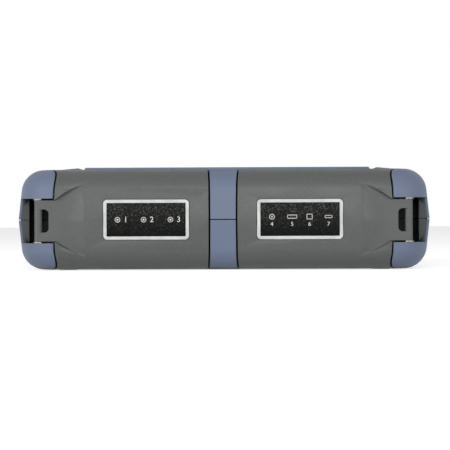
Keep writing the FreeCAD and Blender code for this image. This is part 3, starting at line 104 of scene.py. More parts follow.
# ------------------------------------------------------------------- node construction ----
class Wiring:
    """Adds and joins nodes in one node tree."""

    def __init__(self, tree: bpy.types.NodeTree) -> None:
        """Starts on a tree, which is emptied first."""
        self.tree = tree
        tree.nodes.clear()

    def add(self, kind: str, inputs: dict[str, object] | None = None, **settings: object) -> bpy.types.Node:
        """Adds one node.

        Args:
            kind: Blender's name for the node type.
            inputs: Values or output sockets for its inputs, by socket name.
            **settings: Properties of the node itself.

        Returns:
            The new node.
        """
        node = self.tree.nodes.new(kind)
        for name, value in settings.items():
            setattr(node, name, value)
        for name, value in (inputs or {}).items():
            self.feed(node, name, value)
        return node

    def feed(self, node: bpy.types.Node, name: str | int, value: object) -> None:
        """Joins an output socket to an input, or sets the input's own value.

        Args:
            node: Node that takes the value.
            name: Name or index of its input.
            value: Output socket to join, or a plain value.
        """
        socket = node.inputs[name]
        if isinstance(value, bpy.types.NodeSocket):
            self.tree.links.new(value, socket)
        else:
            socket.default_value = value

    def maths(self, operation: str, *values: object, clamp: bool = False) -> bpy.types.NodeSocket:
        """Adds a Math node on values or sockets and returns its output.

        Args:
            operation: Blender's name for the operation.
            *values: Numbers or output sockets.
            clamp: Whether the result stays within 0 and 1.

        Returns:
            The result's socket.
        """
        node = self.add("ShaderNodeMath", operation=operation, use_clamp=clamp)
        for index, value in enumerate(values):
            self.feed(node, index, value)
        return node.outputs[0]

    def ramp(self, value: object, low: float, high: float, to_low: float = 0.0,
             to_high: float = 1.0) -> bpy.types.NodeSocket:
        """Maps a range to another, smoothly and clamped, and returns the result's socket.

        Args:
            value: Socket that is mapped.
            low: Start of its range.
            high: End of its range.
            to_low: What the start becomes.
            to_high: What the end becomes.

        Returns:
            The result's socket.
        """
        node = self.add("ShaderNodeMapRange", {"Value": value, "From Min": low, "From Max": high,
                                               "To Min": to_low, "To Max": to_high},
                        interpolation_type="SMOOTHSTEP")
        return node.outputs["Result"]

    def blend(self, share: object, first: object, second: object, mode: str = "MIX") -> bpy.types.NodeSocket:
        """Mixes two colours and returns the result's socket.

        Args:
            share: Share of the second colour.
            first: First colour or socket.
            second: Second colour or socket.
            mode: Blender's name for the way of mixing.

        Returns:
            The result's socket.
        """
        node = self.add("ShaderNodeMix", data_type="RGBA", blend_type=mode)
        self.feed(node, 0, share)
        self.feed(node, 6, first)
        self.feed(node, 7, second)
        return node.outputs[2]

    def noise(self, size: object, detail: float = 2.0, vector: object | None = None) -> bpy.types.NodeSocket:
        """Adds a noise of a given grain size in metres on Object coordinates.

        Args:
            size: Grain size, as a number or a socket.
            detail: Octaves of finer noise.
            vector: Coordinates that stand in for Object coordinates.

        Returns:
            The noise's socket.
        """
        place = vector or self.add("ShaderNodeTexCoord").outputs["Object"]
        scale = 1.0 / size if isinstance(size, (int, float)) else self.maths("DIVIDE", 1.0, size)
        node = self.add("ShaderNodeTexNoise", {"Vector": place, "Scale": scale, "Detail": detail})
        return node.outputs["Fac"]


@dataclass(frozen=True)
class EffectSocket:
    """One input or output of a shared effect."""

    name: str
    kind: str
    value: object = None


def effect(name: str, inputs: Sequence[EffectSocket], outputs: Sequence[EffectSocket],
           build: Callable[[Wiring, bpy.types.Node], dict[str, object]]) -> bpy.types.NodeTree:
    """Makes a node group once, and returns it again when it is asked for later.

    Args:
        name: Name of the group.
        inputs: Its inputs with their defaults.
        outputs: Its outputs.
        build: Adds the nodes, and returns a socket for each output's name.

    Returns:
        The node group.
    """
    group = bpy.data.node_groups.get(name)
    if group:
        return group
    group = bpy.data.node_groups.new(name, "ShaderNodeTree")
    for direction, sockets in (("INPUT", inputs), ("OUTPUT", outputs)):
        for item in sockets:
            made = group.interface.new_socket(item.name, in_out=direction, socket_type=item.kind)
            if item.value is not None:
                made.default_value = item.value
    wiring = Wiring(group)
    entry = wiring.add("NodeGroupInput")
    results = build(wiring, entry)
    wiring.add("NodeGroupOutput", results)
    return group


FLOAT, COLOUR = "NodeSocketFloat", "NodeSocketColor"


def grain_effect() -> bpy.types.NodeTree:
    """Group for the fine spark-eroded texture of moulded plastic.

    Returns:
        The node group.
    """

    def build(wiring: Wiring, entry: bpy.types.Node) -> dict[str, object]:
        """Wires the group and returns its outputs.

        Args:
            wiring: Wiring of the group's tree.
            entry: The group's input node.

        Returns:
            A socket for each output's name.
        """
        size = entry.outputs["Grain Size"]
        fine = wiring.noise(size, 3.0)
        coarse = wiring.noise(wiring.maths("MULTIPLY", size, 40.0), 2.0)
        centred = wiring.maths("SUBTRACT", fine, 0.5)
        patch = wiring.maths("SUBTRACT", coarse, 0.5)
        change = wiring.maths("ADD", wiring.maths("MULTIPLY", centred, entry.outputs["Grain Contrast"]),
                              wiring.maths("MULTIPLY", patch, entry.outputs["Mottle"]))
        gain = wiring.maths("ADD", 1.0, change)
        level = wiring.add("ShaderNodeCombineColor", {"Red": gain, "Green": gain, "Blue": gain})
        colour = wiring.blend(1.0, entry.outputs["Colour"], level.outputs[0], "MULTIPLY")
        rough = wiring.maths("ADD", entry.outputs["Roughness"], wiring.maths("MULTIPLY", patch, 0.25))
        return {"Colour": colour, "Roughness": rough, "Height": fine}

    return effect("Moulded grain",
                  [EffectSocket("Colour", COLOUR), EffectSocket("Grain Size", FLOAT, 0.0004),
                   EffectSocket("Grain Contrast", FLOAT, 0.15), EffectSocket("Mottle", FLOAT, 0.1),
                   EffectSocket("Roughness", FLOAT, 0.5)],
                  [EffectSocket("Colour", COLOUR), EffectSocket("Roughness", FLOAT),
                   EffectSocket("Height", FLOAT)], build)


def edge_effect() -> bpy.types.NodeTree:
    """Group that finds the edges, for a painted highlight along them and a rounded normal there.

    Returns:
        The node group.
    """

    def build(wiring: Wiring, entry: bpy.types.Node) -> dict[str, object]:
        """Wires the group and returns its outputs.

        Args:
            wiring: Wiring of the group's tree.
            entry: The group's input node.

        Returns:
            A socket for each output's name.
        """
        soft = wiring.add("ShaderNodeBevel", {"Radius": entry.outputs["Reach"]}, samples=6)
        flat = wiring.add("ShaderNodeNewGeometry")
        turn = wiring.add("ShaderNodeVectorMath", operation="DOT_PRODUCT")
        wiring.feed(turn, 0, soft.outputs["Normal"])
        wiring.feed(turn, 1, flat.outputs["Normal"])
        edge = wiring.ramp(turn.outputs["Value"], 0.995, 0.75)
        broken = wiring.ramp(wiring.noise(0.004, 3.0), 0.35, 0.65, 0.35, 1.0)
        return {"Edge": wiring.maths("MULTIPLY", edge, broken), "Normal": soft.outputs["Normal"]}

    return effect("Painted edge highlight", [EffectSocket("Reach", FLOAT, 0.0004)],
                  [EffectSocket("Edge", FLOAT), EffectSocket("Normal", "NodeSocketVector")], build)


def cavity_effect() -> bpy.types.NodeTree:
    """Group for painted shade: darkens a colour in narrow gaps and deep corners, where ambient occlusion
    finds them.

    Returns:
        The node group.
    """

    def build(wiring: Wiring, entry: bpy.types.Node) -> dict[str, object]:
        """Wires the group and returns its outputs.

        Args:
            wiring: Wiring of the group's tree.
            entry: The group's input node.

        Returns:
            A socket for each output's name.
        """
        near = wiring.add("ShaderNodeAmbientOcclusion", {"Distance": entry.outputs["Reach"]}, samples=8)
        free = wiring.ramp(near.outputs["AO"], 0.12, 0.72)
        shade = wiring.maths("ADD", wiring.maths("MULTIPLY", free, wiring.maths("SUBTRACT", 1.0,
                                                                               entry.outputs["Darkest"])),
                             entry.outputs["Darkest"])
        level = wiring.add("ShaderNodeCombineColor", {"Red": shade, "Green": shade, "Blue": shade})
        return {"Colour": wiring.blend(1.0, entry.outputs["Colour"], level.outputs[0], "MULTIPLY")}

    return effect("Painted cavity shade",
                  [EffectSocket("Colour", COLOUR), EffectSocket("Reach", FLOAT, 0.003),
                   EffectSocket("Darkest", FLOAT, 0.12)],
                  [EffectSocket("Colour", COLOUR)], build)


def dust_effect() -> bpy.types.NodeTree:
    """Group for handling marks: faint smears that change gloss over large areas.

    Returns:
        The node group.
    """

    def build(wiring: Wiring, entry: bpy.types.Node) -> dict[str, object]:
        """Wires the group and returns its outputs.

        Args:
            wiring: Wiring of the group's tree.
            entry: The group's input node.

        Returns:
            A socket for each output's name.
        """
        broad = wiring.ramp(wiring.noise(0.03, 4.0), 0.42, 0.7)
        streak = wiring.ramp(wiring.noise(0.006, 5.0), 0.45, 0.75)
        return {"Mask": wiring.maths("MULTIPLY", wiring.maths("MULTIPLY", broad, streak),
                                     entry.outputs["Amount"])}

    return effect("Handling marks", [EffectSocket("Amount", FLOAT, 0.5)],
                  [EffectSocket("Mask", FLOAT)], build)


# --------------------------------------------------------------------------- finishes ----
class Finish:
    """A material that is made the first time it is asked for."""

    name: str

    def material(self) -> bpy.types.Material:
        """Returns the material, and builds it if it doesn't exist yet.

        Returns:
            The material.
        """
        label = self.name + "_finish"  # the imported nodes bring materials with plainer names
        found = bpy.data.materials.get(label)
        if found:
            return found
        made = bpy.data.materials.new(label)
        made.use_nodes = True
        wiring = Wiring(made.node_tree)
        surface = self.surface(wiring)
        wiring.add("ShaderNodeOutputMaterial", {"Surface": surface})
        return made

    def surface(self, wiring: Wiring) -> bpy.types.NodeSocket:
        """Builds the shader and returns its output."""
        raise NotImplementedError


@dataclass(frozen=True)
class MouldedPlastic(Finish):
    """Textured plastic or soft-touch elastomer, with a painted highlight along its edges and painted shade in
    its gaps and corners.
    """

    name: str
    colour: tuple[float, float, float, float]
    roughness: float = 0.5
    grain: float = 0.00035
    contrast: float = 0.16
    mottle: float = 0.08
    bump: float = 0.00002
    edge_gain: float = 0.22
    edge_reach: float = 0.00035
    specular: float = 0.35
    marks: float = 0.4
    cavity_reach: float = 0.003
    cavity_dark: float = 0.12
    worn_gain: float = 1.9
    worn_lift: float = 0.03
    polish: float = 0.18

    def surface(self, wiring: Wiring) -> bpy.types.NodeSocket:
        """Builds the shader and returns its output.

        Args:
            wiring: Wiring of the material's tree.

        Returns:
            The shader's output socket.
        """
        grain = wiring.add("ShaderNodeGroup", node_tree=grain_effect())
        for name, value in (("Colour", self.colour), ("Grain Size", self.grain), ("Mottle", self.mottle),
                            ("Grain Contrast", self.contrast), ("Roughness", self.roughness)):
            wiring.feed(grain, name, value)
        edge = wiring.add("ShaderNodeGroup", node_tree=edge_effect())
        wiring.feed(edge, "Reach", self.edge_reach)
        marks = wiring.add("ShaderNodeGroup", node_tree=dust_effect())
        wiring.feed(marks, "Amount", self.marks)
        # painted highlight: the colour is lightened along edges, broken up by noise
        pale = tuple(min(1.0, part * self.worn_gain + self.worn_lift) for part in self.colour[:3]) + (1.0,)
        share = wiring.maths("MULTIPLY", edge.outputs["Edge"], self.edge_gain)
        edge_lit = wiring.blend(share, grain.outputs["Colour"], pale)
        # painted shade: the colour is darkened in gaps, recesses and corners
        cavity = wiring.add("ShaderNodeGroup", node_tree=cavity_effect())
        for name, value in (("Colour", edge_lit), ("Reach", self.cavity_reach), ("Darkest", self.cavity_dark)):
            wiring.feed(cavity, name, value)
        rough = wiring.maths("SUBTRACT", grain.outputs["Roughness"],
                             wiring.maths("MULTIPLY", marks.outputs["Mask"], self.polish))
        bump = wiring.add("ShaderNodeBump", {"Height": grain.outputs["Height"], "Distance": self.bump,
                                             "Strength": 1.0, "Normal": edge.outputs["Normal"]})
        shader = wiring.add("ShaderNodeBsdfPrincipled",
                            {"Base Color": cavity.outputs["Colour"], "Roughness": rough,
                             "Normal": bump.outputs["Normal"],
                             "Specular IOR Level": self.specular})
        return shader.outputs[0]


@dataclass(frozen=True)
class SparkledLabel(Finish):
    """Black label stock with fine bright flecks; its ground and flecks are painted lighter towards its upper
    edge, a painted reflection.
    """

    name: str
    low_z: float
    high_z: float
    fleck_size: float = 0.00055
    fleck_range: tuple[float, float] = (0.55, 1.0)
    haze_size: float = 0.0012
    haze_range: tuple[float, float] = (0.3, 0.75)
    haze_share: tuple[float, float] = (0.25, 1.0)
    gloss: tuple[float, float] = (0.35, 0.6)
    bump: float = 0.00002
    specular: float = 0.06

    def surface(self, wiring: Wiring) -> bpy.types.NodeSocket:
        """Builds the shader and returns its output.

        Args:
            wiring: Wiring of the material's tree.

        Returns:
            The shader's output socket.
        """
        place = wiring.add("ShaderNodeTexCoord").outputs["Object"]
        split = wiring.add("ShaderNodeSeparateXYZ", {"Vector": place})
        # painted reflection: rise lightens the ground and the flecks from low_z up to high_z
        rise = wiring.ramp(split.outputs["Z"], self.low_z, self.high_z)
        cells = wiring.add("ShaderNodeTexVoronoi", {"Vector": place, "Scale": 1.0 / self.fleck_size})
        tint = wiring.add("ShaderNodeSeparateColor", {"Color": cells.outputs["Color"]})
        fleck = wiring.ramp(tint.outputs["Red"], *self.fleck_range)
        haze = wiring.noise(self.haze_size, 3.0)
        base = wiring.blend(rise, srgb(12, 12, 12), srgb(30, 31, 30))
        bright = wiring.blend(rise, srgb(40, 40, 38), srgb(104, 105, 102))
        share = wiring.maths("MULTIPLY", fleck, wiring.ramp(haze, *self.haze_range, *self.haze_share))
        colour = wiring.blend(share, base, bright)
        rough = wiring.ramp(tint.outputs["Green"], 0.0, 1.0, *self.gloss)
        bump = wiring.add("ShaderNodeBump", {"Height": tint.outputs["Blue"], "Distance": self.bump,
                                             "Strength": 1.0})
        shader = wiring.add("ShaderNodeBsdfPrincipled",
                            {"Base Color": colour, "Roughness": rough, "Normal": bump.outputs["Normal"],
                             "Specular IOR Level": self.specular})
        return shader.outputs[0]


@dataclass(frozen=True)
class Metal(Finish):
    """Plated, turned or rolled metal with fine scratches."""

    name: str
    colour: tuple[float, float, float, float]
    roughness: float = 0.28
    metallic: float = 1.0
    scratch: float = 0.0006
    stretch: float = 9.0
    scratch_depth: float = 0.000004
    scratch_gloss: tuple[float, float] = (-0.06, 0.1)
    cloud_size: float = 0.008
    dulling: float = 0.82
    edge_reach: float = 0.0002

    def surface(self, wiring: Wiring) -> bpy.types.NodeSocket:
        """Builds the shader and returns its output.

        Args:
            wiring: Wiring of the material's tree.

        Returns:
            The shader's output socket.
        """
        place = wiring.add("ShaderNodeTexCoord").outputs["Object"]
        stretched = wiring.add("ShaderNodeMapping", {"Vector": place, "Scale": (1.0, 1.0, self.stretch)})
        lines = wiring.noise(self.scratch, 4.0, stretched.outputs["Vector"])
        cloud = wiring.noise(self.cloud_size, 3.0)
        edge = wiring.add("ShaderNodeGroup", node_tree=edge_effect())
        wiring.feed(edge, "Reach", self.edge_reach)
        dull = tuple(part * self.dulling for part in self.colour[:3]) + (1.0,)
        colour = wiring.blend(wiring.ramp(cloud, *NOISE_BODY), self.colour, dull)
        rough = wiring.maths("ADD", self.roughness, wiring.ramp(lines, *NOISE_BODY, *self.scratch_gloss))
        bump = wiring.add("ShaderNodeBump", {"Height": lines, "Distance": self.scratch_depth,
                                             "Strength": 1.0, "Normal": edge.outputs["Normal"]})
        shader = wiring.add("ShaderNodeBsdfPrincipled",
                            {"Base Color": colour, "Roughness": rough, "Metallic": self.metallic,
                             "Normal": bump.outputs["Normal"]})
        return shader.outputs[0]


@dataclass(frozen=True)
class CoverGlass(Finish):
    """Tinted cover glass with faint finger marks."""

    name: str
    tint: tuple[float, float, float, float] = srgb(96, 100, 102)
    roughness: float = 0.04
    smear: float = 0.14
    refraction: float = 1.5
    transmission: float = 0.85

    def surface(self, wiring: Wiring) -> bpy.types.NodeSocket:
        """Builds the shader and returns its output.

        Args:
            wiring: Wiring of the material's tree.

        Returns:
            The shader's output socket.
        """
        marks = wiring.add("ShaderNodeGroup", node_tree=dust_effect())
        wiring.feed(marks, "Amount", 1.0)
        dulled = wiring.maths("MULTIPLY", marks.outputs["Mask"], self.smear)
        rough = wiring.maths("ADD", self.roughness, dulled)
        shader = wiring.add("ShaderNodeBsdfPrincipled",
                            {"Base Color": self.tint, "Roughness": rough, "IOR": self.refraction,
                             "Transmission Weight": self.transmission, "Specular IOR Level": 0.5})
        return shader.outputs[0]


@dataclass(frozen=True)
class CircuitBoard(Finish):
    """Green solder mask over faint copper tracks."""

    name: str
    mask: tuple[float, float, float, float] = srgb(18, 84, 46)
    second_mask: tuple[float, float, float, float] = srgb(22, 96, 52)
    track: tuple[float, float, float, float] = srgb(54, 140, 84)
    tracks_per_metre: float = 160.0
    track_width: float = 0.08
    grain: float = 0.002
    gloss: tuple[float, float] = (0.3, 0.5)

    def surface(self, wiring: Wiring) -> bpy.types.NodeSocket:
        """Builds the shader and returns its output.

        Args:
            wiring: Wiring of the material's tree.

        Returns:
            The shader's output socket.
        """
        place = wiring.add("ShaderNodeTexCoord").outputs["Object"]
        tracks = wiring.add("ShaderNodeTexBrick",
                            {"Vector": place, "Scale": self.tracks_per_metre,
                             "Mortar Size": self.track_width, "Color1": self.mask,
                             "Color2": self.second_mask, "Mortar": self.track})
        rough = wiring.ramp(wiring.noise(self.grain), *NOISE_BODY, *self.gloss)
        shader = wiring.add("ShaderNodeBsdfPrincipled",
                            {"Base Color": tracks.outputs["Color"], "Roughness": rough})
        return shader.outputs[0]


@dataclass(frozen=True)
class PrintedInk(Finish):
    """Screen-printed ink, a little uneven in cover."""

    name: str
    colour: tuple[float, float, float, float]
    thinning: float = 0.8
    patch_size: float = 0.0005
    patch_range: tuple[float, float] = (0.35, 0.65)
    gloss: tuple[float, float] = (0.6, 0.45)

    def surface(self, wiring: Wiring) -> bpy.types.NodeSocket:
        """Builds the shader and returns its output.

        Args:
            wiring: Wiring of the material's tree.

        Returns:
            The shader's output socket.
        """
        thin = tuple(part * self.thinning for part in self.colour[:3]) + (1.0,)
        cover = wiring.ramp(wiring.noise(self.patch_size, 3.0), *self.patch_range)
        shader = wiring.add("ShaderNodeBsdfPrincipled",
                            {"Base Color": wiring.blend(cover, thin, self.colour),
                             "Roughness": wiring.ramp(cover, 0.0, 1.0, *self.gloss)})
        return shader.outputs[0]


@dataclass(frozen=True)
class DarkScreen(Finish):
    """Display that is switched off: a dark active area inside a black border."""

    name: str
    low: tuple[float, float]
    high: tuple[float, float]
    border: tuple[float, float, float, float] = srgb(9, 9, 10)
    dark: tuple[float, float, float, float] = srgb(26, 30, 34)
    pale: tuple[float, float, float, float] = srgb(34, 38, 43)
    weave_size: float = 0.0003
    gloss: tuple[float, float] = (0.3, 0.42)

    def surface(self, wiring: Wiring) -> bpy.types.NodeSocket:
        """Builds the shader and returns its output.

        Args:
            wiring: Wiring of the material's tree.

        Returns:
            The shader's output socket.
        """
        place = wiring.add("ShaderNodeTexCoord").outputs["Object"]
        split = wiring.add("ShaderNodeSeparateXYZ", {"Vector": place})
        inside: object = 1.0
        for axis, low, high in (("X", self.low[0], self.high[0]), ("Y", self.low[1], self.high[1])):
            for operation, limit in (("GREATER_THAN", low), ("LESS_THAN", high)):
                step = wiring.maths(operation, split.outputs[axis], limit)
                inside = wiring.maths("MULTIPLY", inside, step)
        weave = wiring.noise(self.weave_size, 1.0)
        active = wiring.blend(weave, self.dark, self.pale)
        shader = wiring.add("ShaderNodeBsdfPrincipled",
                            {"Base Color": wiring.blend(inside, self.border, active),
                             "Roughness": wiring.ramp(weave, 0.0, 1.0, *self.gloss)})
        return shader.outputs[0]


class Finishes:
    """All the finishes of this object, by the thing that they cover."""

    blue_skin = MouldedPlastic("blue_skin", srgb(116, 127, 151), roughness=0.52)
    grey_door = MouldedPlastic("grey_door", srgb(95, 98, 97), roughness=0.45, grain=0.0006, contrast=0.7,
                               mottle=0.05)
    # its recesses and slots take strong painted shade, down to nearly black
    grey_core = MouldedPlastic("grey_core", srgb(94, 97, 98), roughness=0.6, cavity_reach=0.03,
                               cavity_dark=0.02, specular=0.15)
    panel = MouldedPlastic("panel_black", srgb(40, 41, 43), roughness=0.5, grain=0.0003)
    black_plastic = MouldedPlastic("socket_black", srgb(24, 24, 25), roughness=0.4, bump=0.000008)
    key = MouldedPlastic("key_grey", srgb(78, 81, 84), roughness=0.62, grain=0.00025, marks=0.8)
    power = MouldedPlastic("key_accent", srgb(176, 62, 40), roughness=0.6, grain=0.00025, marks=0.8)
    rubber = MouldedPlastic("black_rubber", srgb(30, 30, 30), roughness=0.75, specular=0.25)
    sleeve = MouldedPlastic("battery_sleeve", srgb(38, 40, 46), roughness=0.35, bump=0.000006)
    light = MouldedPlastic("light_pipe", srgb(196, 210, 200), roughness=0.25, bump=0.000002, specular=0.5)
    ceramic = MouldedPlastic("ceramic_sleeve", srgb(226, 224, 216), roughness=0.25, bump=0.000002)
    silver = Metal("label_silver", srgb(200, 202, 203), roughness=0.42, metallic=0.35)
    steel = Metal("pin_steel", srgb(138, 138, 135), roughness=0.4)
    nickel = Metal("socket_nickel", srgb(206, 203, 194), roughness=0.22)
    gold = Metal("contact_gold", srgb(226, 186, 96), roughness=0.25)
    sheet = Metal("module_sheet", srgb(184, 187, 189), roughness=0.4)
    glass = CoverGlass("cover_glass")
    board = CircuitBoard("circuit_board")
    white_ink = PrintedInk("white_ink", srgb(228, 229, 226))


# -------------------------------------------------------------------------- workbench ----
class Bench:
    """Modelling steps that the builders below share."""

    @staticmethod
    def deselect() -> None:
        """Leaves nothing selected or active."""
        if bpy.context.object and bpy.context.object.mode != "OBJECT":
            bpy.ops.object.mode_set(mode="OBJECT")
        bpy.ops.object.select_all(action="DESELECT")
        bpy.context.view_layer.objects.active = None

    @staticmethod
    def take(piece: bpy.types.Object) -> None:
        """Makes one object the only one selected, and active.

        Args:
            piece: The object.
        """
        Bench.deselect()
        piece.select_set(True)
        bpy.context.view_layer.objects.active = piece

    @staticmethod
    def settle(piece: bpy.types.Object, name: str, finish: Finish | None = None) -> bpy.types.Object:
        """Applies modifiers and transforms, names the piece and gives it one finish.

        Args:
            piece: A new object.
            name: Its final name.
            finish: Its finish, if it takes only one.

        Returns:
            The same object, at the origin and unturned.
        """
        Bench.take(piece)
        if piece.type != "MESH":
            bpy.ops.object.convert(target="MESH")
            piece = bpy.context.object
        bpy.ops.object.transform_apply(location=True, rotation=True, scale=True)
        for modifier in list(piece.modifiers):
            bpy.ops.object.modifier_apply(modifier=modifier.name)
        piece.name = name
        piece.data.name = name
        if finish:
            piece.data.materials.clear()
            piece.data.materials.append(finish.material())
        Bench.deselect()
        return piece

    @staticmethod
    def weld(pieces: Sequence[bpy.types.Object], name: str, finish: Finish) -> bpy.types.Object:
        """Joins finished parts of one piece into a single object.

        Args:
            pieces: Parts to join.
            name: Name of the joined piece.
            finish: Its finish.

        Returns:
            The joined object.
        """
        Bench.take(pieces[0])
        for other in pieces[1:]:
            other.select_set(True)
        if len(pieces) > 1:
            bpy.ops.object.join()
        return Bench.settle(bpy.context.object, name, finish)

    @staticmethod
    def smooth_copy(node: bpy.types.Object, name: str, finish: Finish,
                    angle: float = 24.0) -> bpy.types.Object:
        """Copies a rigid node, merges its loose triangles and shades its rounded faces smoothly.

        Args:
            node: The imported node, which stays as it is.
            name: Name of the copy.
            finish: Its finish.
            angle: Largest turn, in degrees, that still shades as one surface.

        Returns:
            The copy.
        """
        copy = node.copy()
        copy.data = node.data.copy()
        copy.parent = None
        for key in list(copy.keys()):
            del copy[key]
        bpy.context.scene.collection.objects.link(copy)
        Bench.take(copy)
        bpy.ops.object.mode_set(mode="EDIT")
        bpy.ops.mesh.select_all(action="SELECT")
        bpy.ops.mesh.remove_doubles(threshold=0.000002)
        bpy.ops.object.mode_set(mode="OBJECT")
        bpy.ops.object.shade_smooth_by_angle(angle=math.radians(angle))
        weighted = copy.modifiers.new("weighted", "WEIGHTED_NORMAL")
        weighted.keep_sharp = True
        weighted.weight = 100
        return Bench.settle(copy, name, finish)

    @staticmethod
    def box(low: Sequence[float], high: Sequence[float], bevel: float) -> bpy.types.Object:
        """A bevelled block between two corners.

        Args:
            low: Lowest corner.
            high: Highest corner.
            bevel: Width of the bevel on all its edges.

        Returns:
            The new object.
        """
        Bench.deselect()
        centre = [(a + b) / 2 for a, b in zip(low, high)]
        size = [b - a for a, b in zip(low, high)]
        bpy.ops.mesh.primitive_cube_add(size=1.0, location=centre, scale=size)
        piece = bpy.context.object
        bpy.ops.object.transform_apply(location=True, rotation=False, scale=True)
        bpy.ops.object.mode_set(mode="EDIT")
        bpy.ops.mesh.select_all(action="SELECT")
        bpy.ops.mesh.bevel(offset=bevel, segments=2)
        bpy.ops.object.mode_set(mode="OBJECT")
        return piece

    @staticmethod
    def ring(centre: Vector, outer: float, inner: float, depth: float, sides: int = 40) -> bpy.types.Object:
        """A flat ring that faces -Y, made from a disc by an inset and an extrusion.

        Args:
            centre: Middle of its front face.
            outer: Outer radius.
            inner: Inner radius.
            depth: How far it reaches back along +Y.
            sides: Segments round it.

        Returns:
            The new object.
        """
        Bench.deselect()
        bpy.ops.mesh.primitive_circle_add(vertices=sides, radius=outer, fill_type="NGON", location=centre,
                                          rotation=(math.radians(90), 0, 0))
        piece = bpy.context.object
        bpy.ops.object.transform_apply(location=True, rotation=True, scale=True)
        bpy.ops.object.mode_set(mode="EDIT")
        bpy.ops.mesh.select_all(action="SELECT")
        bpy.ops.mesh.inset(thickness=outer - inner)
        bpy.ops.mesh.delete(type="FACE")
        bpy.ops.mesh.select_all(action="SELECT")
        bpy.ops.mesh.extrude_region_move(TRANSFORM_OT_translate={"value": (0, depth, 0)})
        bpy.ops.mesh.select_all(action="SELECT")
        bpy.ops.mesh.normals_make_consistent(inside=False)
        bpy.ops.object.mode_set(mode="OBJECT")
        return piece


class Side(Enum):
    """The two doors, by what lies behind them, with the sign of their X."""

    OPTICAL = -1
    ELECTRICAL = 1

    @property
    def tag(self) -> str:
        """Name part that this side's nodes start with."""
        return self.name.lower()


@dataclass
class Assembly:
    """A sub-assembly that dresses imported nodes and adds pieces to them."""

    nodes: dict[str, bpy.types.Object]

    def coat(self, finish: Finish, *names: str) -> None:
        """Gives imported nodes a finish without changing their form.

        Args:
            finish: Finish to give.
            *names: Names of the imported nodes.
        """
        for name in names:
            mesh = self.nodes[name].data
            mesh.materials.clear()
            mesh.materials.append(finish.material())
            for face in mesh.polygons:
                face.material_index = 0

    def mould(self, node: str, finish: Finish, body: str, slot: str, angle: float = 24.0) -> bpy.types.Object:
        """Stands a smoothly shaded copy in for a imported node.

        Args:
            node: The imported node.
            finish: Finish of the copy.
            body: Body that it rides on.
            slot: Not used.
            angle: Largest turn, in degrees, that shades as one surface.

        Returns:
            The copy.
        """
        piece = Bench.smooth_copy(self.nodes[node], node + "_moulded", finish, angle)
        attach(piece, body)
        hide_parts(node)
        return piece

    def place(self, piece: bpy.types.Object, body: str, slot: str) -> bpy.types.Object:
        """Lets a new piece ride on a body.

        Args:
            piece: The new piece.
            body: Body that it rides on.
            slot: Not used.

        Returns:
            The same piece.
        """
        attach(piece, body)
        return piece


# ---------------------------------------------------------------------------- housing ----
@dataclass
class Housing(Assembly):
    """The blue skins and grey cores of both halves."""

    def build(self) -> None:
        """Dresses the four shells."""
        for name in ("front_bumper", "rear_bumper"):
            self.mould(name, Finishes.blue_skin, "case", "blue_skin")
        for name in ("front_shell", "rear_shell"):
            self.mould(name, Finishes.grey_core, "case", "grey_core")
        self.coat(Finishes.rubber, "seam_gasket")
        self.coat(Finishes.steel, "case_screws")


# ------------------------------------------------------------------------------ doors ----
@dataclass
class SocketDoor(Assembly):
    """One door with its label."""

    side: Side = Side.OPTICAL
    ink: float = 0.05 * MM
    stroke: float = 0.42 * MM
    pin_hole: float = 0.01 * MM
    digit_height: float = 3.3 * MM
    type_size: float = 1.42
    type_weight: float = 0.012

    def build(self) -> None:
        """Dresses the door and its label, and prints the label."""
        tag = self.side.tag
        body = tag + "_door"
        self.mould(tag + "_door", Finishes.grey_door, body, "grey_door")
        self.mould(tag + "_label_frame", Finishes.silver, body, "bright_frame")
        low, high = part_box(tag + "_label_plate")
        self.coat(SparkledLabel("label_black", low.z, high.z), tag + "_label_plate")
        pieces = self.print_marks(low, high)
        self.place(Bench.weld(pieces, tag + "_label_print", Finishes.white_ink), body, "black_label")

    def digit(self, text: str, x: float, y: float, z: float, height: float) -> bpy.types.Object:
        """A printed number that faces -Y, centred on a point.

        Args:
            text: The number.
            x: Its middle across.
            y: Middle of its ink.
            z: Its middle upwards.
            height: Height of its digits.

        Returns:
            The new object.
        """
        Bench.deselect()
        bpy.ops.object.text_add(location=(x, y, z), rotation=(math.radians(90), 0, 0))
        piece = bpy.context.object
        piece.data.body = text
        piece.data.align_x = "CENTER"
        piece.data.align_y = "CENTER"
        piece.data.size = height * self.type_size
        piece.data.extrude = self.ink / 2
        piece.data.offset = height * self.type_weight
        return Bench.settle(piece, "number")

    def print_marks(self, low: Vector, high: Vector) -> list[bpy.types.Object]:
        """Prints the numbers and port outlines on the label plate."""
        raise NotImplementedError


@dataclass
class OpticalDoor(SocketDoor):
    """Door over the three fibre sockets: three numbered rings in a row."""

    side: Side = Side.OPTICAL
    places: tuple[float, ...] = (0.19, 0.52, 0.86)
    ring_gap: float = 5.0 * MM
    ring: tuple[float, float] = (1.65 * MM, 1.25 * MM)
    dot: float = 0.62 * MM

    def print_marks(self, low: Vector, high: Vector) -> list[bpy.types.Object]:
        """Prints a ring and a number for each fibre socket.

        Args:
            low: Lowest corner of the label plate.
            high: Highest corner of the label plate.

        Returns:
            The printed pieces.
        """
        y = low.y - self.ink / 2
        z = (low.z + high.z) / 2
        pieces = []
        for number, share in enumerate(self.places, start=1):
            x = low.x + share * (high.x - low.x)
            for outer, inner in (self.ring, (self.dot, self.pin_hole)):
                pieces.append(Bench.ring(Vector((x - self.ring_gap / 2, y - self.ink / 2, z)), outer, inner,
                                         self.ink, 32))
            pieces.append(self.digit(str(number), x + self.ring_gap / 2, y, z, self.digit_height))
        return pieces


class PortShape(Enum):
    """Form of a socket's printed outline."""

    ROUND = "round"
    SQUARE = "square"


@dataclass(frozen=True)
class PortOutline:
    """Printed outline of one socket, placed by its share of the label's width."""

    share: float
    width: float
    height: float
    shape: PortShape = PortShape.SQUARE


